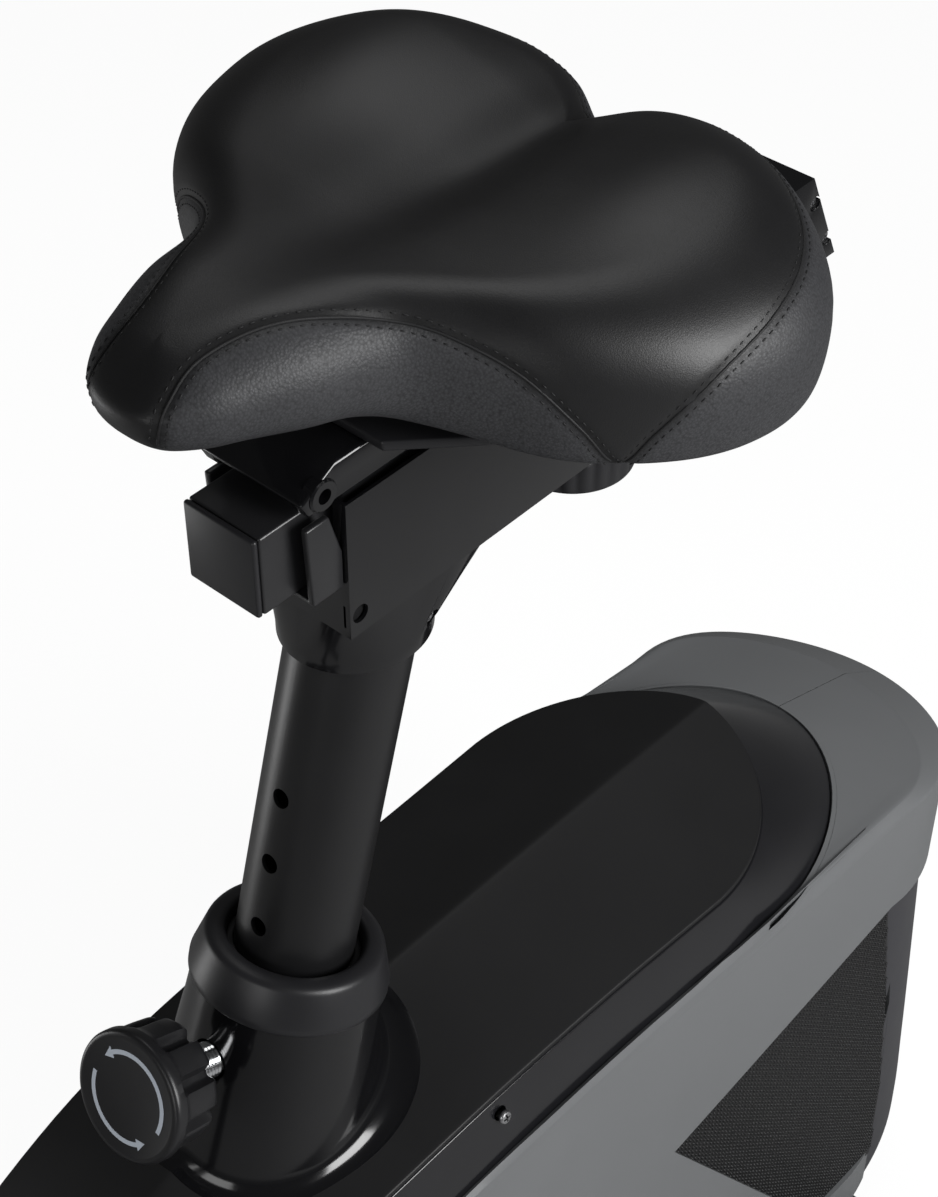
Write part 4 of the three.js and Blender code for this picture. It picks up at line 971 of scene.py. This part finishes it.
for name, start, end in (("arrow_mark_upper", -14, 132), ("arrow_mark_lower", 176, 302)):
    mark = prism(name, arrow_arc(22, start, end, 2.3, 5.5), on_pin(KNOB_REACH - 0.35), PIN_SIDE,
                 PIN_OUT.cross(PIN_SIDE), -0.1, 0.12)
    fitted(mark, PRINT, "plunger_knob", "satin_black")

# ------------------------------------------------------------------ slider head
COWL_BOTTOM = BEAM_TOP - 102
COWL_RAIL = BEAM_TOP - 72


def section(half, y0, y1, z, power, count=112):
    """A level ring between a circle (power 1) and a rectangle (power 0)."""
    ring = []
    for k in range(count):
        c, s = math.cos(2 * math.pi * k / count), math.sin(2 * math.pi * k / count)
        ring.append((half * math.copysign(abs(c) ** power, c),
                     (y0 + y1) / 2 + (y1 - y0) / 2 * math.copysign(abs(s) ** power, s), z))
    return ring


def cowl_block(name, inset, extra):
    """The cowl's outside as a full block, drawn in by the inset for its inside."""
    middle = on_post((BEAM_TOP - COWL_BOTTOM - 3) / math.cos(POST_LEAN)).y
    r = POST_RADIUS + 5.2 - inset
    half, front = HEAD_HALF - inset, 40 + inset
    reach = r + 1.5
    body = loft(name, [
        section(r, middle - reach, middle + reach, COWL_BOTTOM - extra, 1),
        section(r, middle - reach, middle + reach, COWL_BOTTOM + 6, 1),
        section(half, front, 141 - inset, COWL_RAIL + inset, 0.5),
        section(half, front, 150 - inset, BEAM_TOP + extra, 0.3),
    ])
    rail = block("rail", -half, half, front, 245 - inset, COWL_RAIL + inset, BEAM_TOP + extra)
    return combined(body, rail, "UNION")


cowl = cowl_block("lower_cowl_skin", 0, 0)
cowl = rounded(cowl, 1.6, 3, 38)
rail_foot = low("head_rail").z
cut(cowl, cowl_block("inner", 1.8, 3), rod("bolt_way", (0, LOCK_Y, COWL_RAIL - 2), (0, LOCK_Y, rail_foot), 7),
    block("passage", -23.8, 23.8, 0, 250, rail_foot - 0.3, BEAM_TOP + 20),
    rod("hole", (26, 46, BEAM_TOP - 61), (34, 46, BEAM_TOP - 61), 4.5),
    rod("hole", (26, 88, BEAM_TOP - 92), (34, 88, BEAM_TOP - 92), 4.5))
fitted(shaded(cowl, 38), GLOSS, "post", "gloss_black", "lower_cowl")
# A thin dark plate just inside the cowl's empty hole: painted shade in the opening.
fitted(block("cowl_hole_shade", 27.2, 28.4, 40, 52, BEAM_TOP - 67, BEAM_TOP - 55), PAINTED_HOLE_SHADE, "post",
       "gloss_black")
screw("cowl_screw", (30.2, 88, BEAM_TOP - 92), (1, 0, 0), 4.1, STEEL, "post", "gloss_black")

for node, width, material, body, slot in (
        ("front_bracket", 1.0, PAINT, "post", "painted_black"),
        ("head_rail", 0.8, PAINT, "post", "painted_black"),
        ("slide_beam", 1.8, PAINT, "carriage", "painted_black"),
        ("beam_front_cap", 1.6, SATIN, "carriage", "satin_black"),
        ("beam_rear_cover", 1.6, GLOSS, "carriage", "gloss_black"),
        ("beam_cover", 1.5, GLOSS, "carriage", "gloss_black"),
        ("saddle_bracket", 0.8, PAINT, "carriage", "painted_black"),
        ("saddle_pan", 1.2, SATIN, "carriage", "satin_black")):
    fitted(refined(node, width), material, body, slot, node)
screw("rear_cover_screw_upper", (29.6, 357, BEAM_TOP - 13), (1, 0, 0), 3.6, STEEL, "carriage", "gloss_black")
screw("rear_cover_screw_lower", (29.6, 371, BEAM_TOP - 39), (1, 0, 0), 3.6, STEEL, "carriage", "gloss_black")
ear = turned("beam_cover_ear", [(3.5, 0), (6.6, 0), (7.4, 0.8), (7.5, 2), (7.5, 6), (3.5, 6)],
             (30.2, 30, BEAM_TOP + 11), (-1, 0, 0), 48)
fitted(shaded(ear), GLOSS, "carriage", "gloss_black")

lock_lines = []
for k in range(144):
    angle = 2 * math.pi * k / 144
    out = Vector((math.cos(angle), math.sin(angle), 0))
    ridge = 1.1 * smoothstep(0.1, 0.8, math.cos(24 * angle))
    line = [Vector((0, LOCK_Y, 832)) + out * 0.5]
    for r, z in ((27, 832), (29, 832.4), (30.4, 833.6), (31, 835.6), (31, 848), (30.4, 850.6), (28.6, 852.6),
                 (24, 853), (9, 853), (5, 853.4), (5, 889.2), (0.5, 889.2)):
        r -= ridge if 834 < z < 851 and r > 28 else 0
        line.append(Vector((0, LOCK_Y, z)) + out * r)
    lock_lines.append(line)
lock = skin("slide_lock_knob_skin", lock_lines, closed=True)
bm = bmesh.new()
bm.from_mesh(lock.data)
bmesh.ops.holes_fill(bm, edges=[e for e in bm.edges if e.is_boundary])
bmesh.ops.recalc_face_normals(bm, faces=bm.faces)
bm.to_mesh(lock.data)
bm.free()
fitted(shaded(lock, 45), SATIN, "slide_lock", "satin_black", "slide_lock_knob")

# ------------------------------------------------------------------ saddle
SADDLE_PLAN = [(18, -40), (31, -26), (39, -8), (47, 14), (52, 36), (61, 53), (82, 69), (108, 85), (126, 103),
               (140, 124), (149, 148), (152, 170), (148, 191), (136, 211), (115, 231), (90, 247), (62, 257),
               (30, 254)]
SADDLE_SPINE = [(0, -20), (0.1, -10), (0.24, 40), (0.37, 90), (0.52, 130), (0.65, 158), (0.785, 182),
                (0.9, 200), (1, 212)]
CROWN = [(-44, 90), (-20, 100), (20, 105), (90, 99), (150, 95), (200, 95), (240, 91), (264, 88)]
WIDEST = [(0, 79), (0.1, 79), (0.24, 74), (0.4, 62), (0.55, 55), (1, 56)]
UNDERSIDE = [(0, 61), (0.1, 60), (0.2, 54), (0.28, 43), (0.36, 34), (0.46, 29), (0.54, 26), (1, 26)]
TUCK = [(0, 16), (0.1, 16), (0.24, 14), (0.36, 11), (0.5, 8), (0.62, 7), (1, 10)]
PLAN_STEPS = 520


def saddle_top(x, y):
    """The crown: two lobes either side of a valley that deepens towards the rear."""
    lobe = math.exp(-((abs(x) - 80) / 44) ** 2 - ((y - 186) / 66) ** 2)
    valley = mix(0, 9, smoothstep(-20, 225, y)) * math.exp(-(x / 20) ** 2)
    return smooth_table(CROWN, y) + 12 * lobe - valley


plan = [(0, -44, 0)] + [(x, y, 0) for x, y in SADDLE_PLAN] + [(0, 240, 0)]
plan += [(-x, y, 0) for x, y in reversed(SADDLE_PLAN)]
rim = curve_through(plan, PLAN_STEPS, closed=True)
around = []
for k, edge in enumerate(rim):
    share = min(k, PLAN_STEPS - k) / (PLAN_STEPS / 2)
    middle = Vector((0, smooth_table(SADDLE_SPINE, share), 0))
    inwards = (middle - edge).normalized()
    heights = [smooth_table(table, share) for table in (WIDEST, UNDERSIDE, TUCK)]
    around.append((edge, middle, inwards, *heights, share))
rings = []
for level in range(7):
    t = level / 7
    rings.append([middle + (edge + inwards * tuck - middle) * t + Vector((0, 0, foot + 3 * (1 - t)))
                  for edge, middle, inwards, widest, foot, tuck, share in around])
for level in range(19):
    t = math.pi / 2 * (1 - level / 18)
    rings.append([edge + inwards * tuck * (1 - math.cos(t))
                  + Vector((0, 0, widest - (widest - foot) * math.sin(t)))
                  for edge, middle, inwards, widest, foot, tuck, share in around])
for level in range(1, 57):
    t = (level / 56) ** 1.45
    ring = []
    for edge, middle, inwards, widest, foot, tuck, share in around:
        place = edge.lerp(middle, t)
        reach = t * (middle - edge).length
        soft = mix(34, 48, smoothstep(0.1, 0.5, share))
        fall = max(0.0, 1 - reach / soft) ** 2.2
        place.z = widest + (saddle_top(place.x, place.y) - widest) * (1 - fall) ** (1 / 2.2)
        ring.append(place)
    rings.append(ring)
raised = [[p + Vector((0, 0, BEAM_TOP)) for p in ring] for ring in rings]
saddle = loft("saddle_cushion_skin", raised, ends=False)
outward(saddle, 0.00002)
fitted(saddle, VINYL, "carriage", "saddle_vinyl", "saddle_cushion")
for polygon in saddle.data.polygons:
    polygon.use_smooth = True

# Points of the left half's seams: across, back, and up from the beam's top.
SIDE_SEAM = [(17, -40, 68), (19, -35, 86), (19, -17, 98), (27, 10, 102), (43, 40, 97), (64, 60, 89),
             (91, 75, 74), (110, 87, 52), (118, 97, 31)]
REAR_SEAM = [(122, 101, 29), (130, 109, 48), (141, 130, 69), (143, 160, 81), (134, 190, 87), (112, 216, 89),
             (85, 233, 90), (50, 244, 88), (22, 240, 84), (0, 234, 82)]
STITCH_STEP, STITCH_GAP, STITCH_SIZE = 3.6, 3.0, (2.3, 0.75, 0.65)
GROOVE_DEPTH, GROOVE_WIDTH = 1.0, 2.6
cover = BVHTree.FromPolygons([v.co.copy() for v in saddle.data.vertices],
                             [p.vertices for p in saddle.data.polygons])


def on_cover(point):
    """The nearest place on the cushion's cover to a point, and the outward direction there."""
    place, out, _, _ = cover.find_nearest(Vector(point) * MM)
    return place / MM, out


def seam_run(points):
    """A seam as even steps on the cover: place, direction along it and direction out of the cover."""
    line = curve_through([(x, y, z + BEAM_TOP) for x, y, z in points], 260)
    laid = [on_cover(p) for p in line]
    run = []
    for k, (place, out) in enumerate(laid):
        along = (laid[min(k + 1, len(laid) - 1)][0] - laid[max(k - 1, 0)][0]).normalized()
        run.append((place, along, out))
    return run


def spaced(run, step):
    """Every so many millimetres along a seam."""
    picked, gone = [run[0]], 0.0
    for before, after in zip(run, run[1:]):
        gone += (after[0] - before[0]).length
        if gone >= step:
            picked.append(after)
            gone = 0.0
    return picked


seams = [seam_run(SIDE_SEAM), seam_run(REAR_SEAM)]
samples = [item for run in seams for item in run]
finder = KDTree(len(samples))
for k, (place, _, _) in enumerate(samples):
    finder.insert(place, k)
finder.balance()
grained = saddle.data.attributes.new("grained_panel", "FLOAT", "POINT")
painted_groove_shade = saddle.data.attributes.new("seam_shade", "FLOAT", "POINT")
directions = [v.normal.copy() for v in saddle.data.vertices]
for k, vertex in enumerate(saddle.data.vertices):
    here = vertex.co / MM
    here.x = abs(here.x)
    _, index, away = finder.find(here)
    place, along, out = samples[index]
    side = (here - place).dot(out.cross(along))
    grained.data[k].value = 1 - smoothstep(-1.5, 1.5, side) if away < 12 else float(side < 0)
    # The groove is dented into the cover and also darkened through seam_shade: the darkening is painted
    # shade.
    dent = math.exp(-(away / GROOVE_WIDTH) ** 2)
    painted_groove_shade.data[k].value = dent * 0.7
    vertex.co -= directions[k] * (GROOVE_DEPTH * dent * MM)

for name, run in zip(("side", "rear"), seams):
    for hand, sign in (("left", -1), ("right", 1)):
        line = [Vector((sign * p.x, p.y, p.z)) - Vector((sign * out.x, out.y, out.z)) * (GROOVE_DEPTH * 0.9)
                for p, _, out in spaced(run, 2.0)]
        fitted(tube_along(f"saddle_{name}_seam_{hand}", line, 0.65, 10), THREAD, "carriage", "saddle_vinyl")
        spots = []
        for place, along, out in spaced(run, STITCH_STEP):
            across = out.cross(along)
            for offset in (-STITCH_GAP, STITCH_GAP):
                spot = place + across * offset - out * 0.35
                spots.append(((sign * spot.x, spot.y, spot.z), (sign * along.x, along.y, along.z),
                              (sign * out.x, out.y, out.z)))
        stitches = repeated(f"saddle_{name}_stitches_{hand}", spots, STITCH_SIZE, THREAD)
        fitted(stitches, THREAD, "carriage", "saddle_vinyl")

# ------------------------------------------------------------------ everything else on the frame
HALF = 235
bar_y, bar_z = -477, 1078
side_path = [(HALF, -338, 1150), (HALF, -364, 1150), (HALF, -392, 1150), (HALF, -421, 1150),
             (230, -445, 1143), (211, -464, 1126), (176, -474, 1104), (138, bar_y, 1086), (100, bar_y, bar_z),
             (40, bar_y, bar_z), (0, bar_y, bar_z)]
whole = side_path + [(-x, y, z) for x, y, z in reversed(side_path[:-1])]
handlebar = tube_along("handlebar_skin", curve_through(whole, 220), 14, 40)
fitted(shaded(handlebar, 50), PAINT, "frame", "painted_black", "handlebar")

# Material, slot, rounding, body (none where each node is a body of its own name) and nodes.
shown_parts = [
    (PAINT, "painted_black", 1.5, "frame", ["main_beam", "frame_strut", "front_stabiliser", "rear_stabiliser",
                                            "mast_tube", "flywheel_bracket", "seat_tube"]),
    (PAINT, "painted_black", 1.5, "crank", ["crank_arm_left", "crank_arm_right"]),
    (SATIN, "satin_black", 2.0, "frame", ["console_housing", "rear_cap_left", "rear_cap_right",
                                          "front_cap_left", "front_cap_right"]),
    (SATIN, "satin_black", 0.6, "crank", ["drive_pulley"]),
    (RUBBER, "rubber_black", 1.2, None, ["transport_wheel_left", "transport_wheel_right",
                                         "levelling_foot_left", "levelling_foot_right", "pedal_left",
                                         "pedal_right"]),
    (RUBBER, "rubber_black", 1.2, "frame", ["handlebar_grip_left", "handlebar_grip_right"]),
    (STEEL, "steel", 0.5, "crank", ["crank_spindle"]),
    (STEEL, "steel", 0.4, "flywheel", ["flywheel_pulley", "flywheel_axle"]),
    (STEEL, "steel", 0.4, "frame", ["crank_bearing_left", "crank_bearing_right"]),
    (STEEL, "steel", 0.6, None, ["brake_arm"]),
    (IRON, "iron", 1.0, "flywheel", ["flywheel"]),
    (BELT, "belt_rubber", 0.3, "frame", ["drive_belt"]),
    (SCREEN, "screen_glass", 0.4, "frame", ["console_screen"]),
    (BUTTON, "button_grey", 0.6, None, ["console_button_1", "console_button_2", "console_button_3"]),
]
for material, slot, width, body, nodes in shown_parts:
    for node in nodes:
        fitted(refined(node, width), material, body or node, slot, node)

# ------------------------------------------------------------------ camera, studio and floor
camera_data = bpy.data.cameras.new("camera")
camera_data.lens = 72.09
camera = bpy.data.objects.new("camera", camera_data)
camera.location = (0.5483, -0.4652, 1.5378)
camera.rotation_euler = (math.radians(47.70), 0, math.radians(41.82))
bpy.context.scene.collection.objects.link(camera)
bpy.context.scene.camera = camera


def softbox(name, place, aim, width, height, power):
    """An area light at a place, turned towards a point, in metres and watts."""
    data = bpy.data.lights.new(name, "AREA")
    data.shape = "RECTANGLE"
    data.size, data.size_y = width, height
    data.energy = power
    light = bpy.data.objects.new(name, data)
    light.location = place
    light.rotation_euler = (Vector(aim) - Vector(place)).to_track_quat("-Z", "Y").to_euler()
    bpy.context.scene.collection.objects.link(light)
    return light


softbox("key_box", (1.9, 0.45, 1.55), (0.05, 0.15, 0.85), 1.0, 1.2, 54)
softbox("top_box", (-0.5, 0.9, 2.6), (0, 0.15, 0.85), 1.3, 0.9, 9)
softbox("front_box", (0.3, -2.1, 1.3), (0, 0.1, 0.8), 1.2, 1.0, 13)
softbox("left_strip", (-1.3, -0.7, 0.35), (0, 0, 0.75), 0.35, 1.1, 6)


def lit_for_camera(tree, seen, unseen):
    """Camera and transmitted rays get the first surface, and others the second."""
    path = tree.nodes.new("ShaderNodeLightPath")
    first = tree.nodes.new("ShaderNodeMath")
    first.operation = "MAXIMUM"
    tree.links.new(path.outputs["Is Camera Ray"], first.inputs[0])
    tree.links.new(path.outputs["Is Transmission Ray"], first.inputs[1])
    pick = tree.nodes.new("ShaderNodeMixShader")
    tree.links.new(first.outputs[0], pick.inputs[0])
    tree.links.new(unseen, pick.inputs[1])
    tree.links.new(seen, pick.inputs[2])
    return pick.outputs[0], path


world = bpy.data.worlds.new("studio")
bpy.context.scene.world = world
world.use_nodes = True
tree = world.node_tree
tree.nodes.clear()


def sky(strength):
    made = tree.nodes.new("ShaderNodeBackground")
    made.inputs["Color"].default_value = (1, 1, 1, 1)
    made.inputs["Strength"].default_value = strength
    return made.outputs[0]


white, soft_sky, gloss_sky = sky(1.0), sky(0.28), sky(0.05)
shown, path = lit_for_camera(tree, white, soft_sky)
pick_gloss = tree.nodes.new("ShaderNodeMixShader")
tree.links.new(path.outputs["Is Glossy Ray"], pick_gloss.inputs[0])
tree.links.new(shown, pick_gloss.inputs[1])
tree.links.new(gloss_sky, pick_gloss.inputs[2])
end = tree.nodes.new("ShaderNodeOutputWorld")
tree.links.new(pick_gloss.outputs[0], end.inputs["Surface"])

FLOOR_REACH, FLOOR_Z = 30000, -0.5
corners = [(x * FLOOR_REACH, y * FLOOR_REACH, FLOOR_Z) for x, y in ((-1, -1), (1, -1), (1, 1), (-1, 1))]
floor = mesh_piece("floor", corners, [(0, 1, 2, 3)])
paper = bpy.data.materials.new("paper")
paper.use_nodes = True
tree = paper.node_tree
tree.nodes.clear()
plain = tree.nodes.new("ShaderNodeBsdfDiffuse")
plain.inputs["Color"].default_value = (0.8, 0.8, 0.8, 1)
glow = tree.nodes.new("ShaderNodeEmission")
glow.inputs["Strength"].default_value = 1.06
keep = tree.nodes.new("ShaderNodeMixShader")
keep.inputs[0].default_value = 0.86
tree.links.new(plain.outputs[0], keep.inputs[1])
tree.links.new(glow.outputs[0], keep.inputs[2])
dim = tree.nodes.new("ShaderNodeBsdfDiffuse")
dim.inputs["Color"].default_value = (0.3, 0.3, 0.3, 1)
shown, path = lit_for_camera(tree, keep.outputs[0], plain.outputs[0])
pick_gloss = tree.nodes.new("ShaderNodeMixShader")
tree.links.new(path.outputs["Is Glossy Ray"], pick_gloss.inputs[0])
tree.links.new(shown, pick_gloss.inputs[1])
tree.links.new(dim.outputs[0], pick_gloss.inputs[2])
end = tree.nodes.new("ShaderNodeOutputMaterial")
tree.links.new(pick_gloss.outputs[0], end.inputs["Surface"])
floor.data.materials.append(paper)
bpy.context.scene.view_settings.view_transform = "Standard"
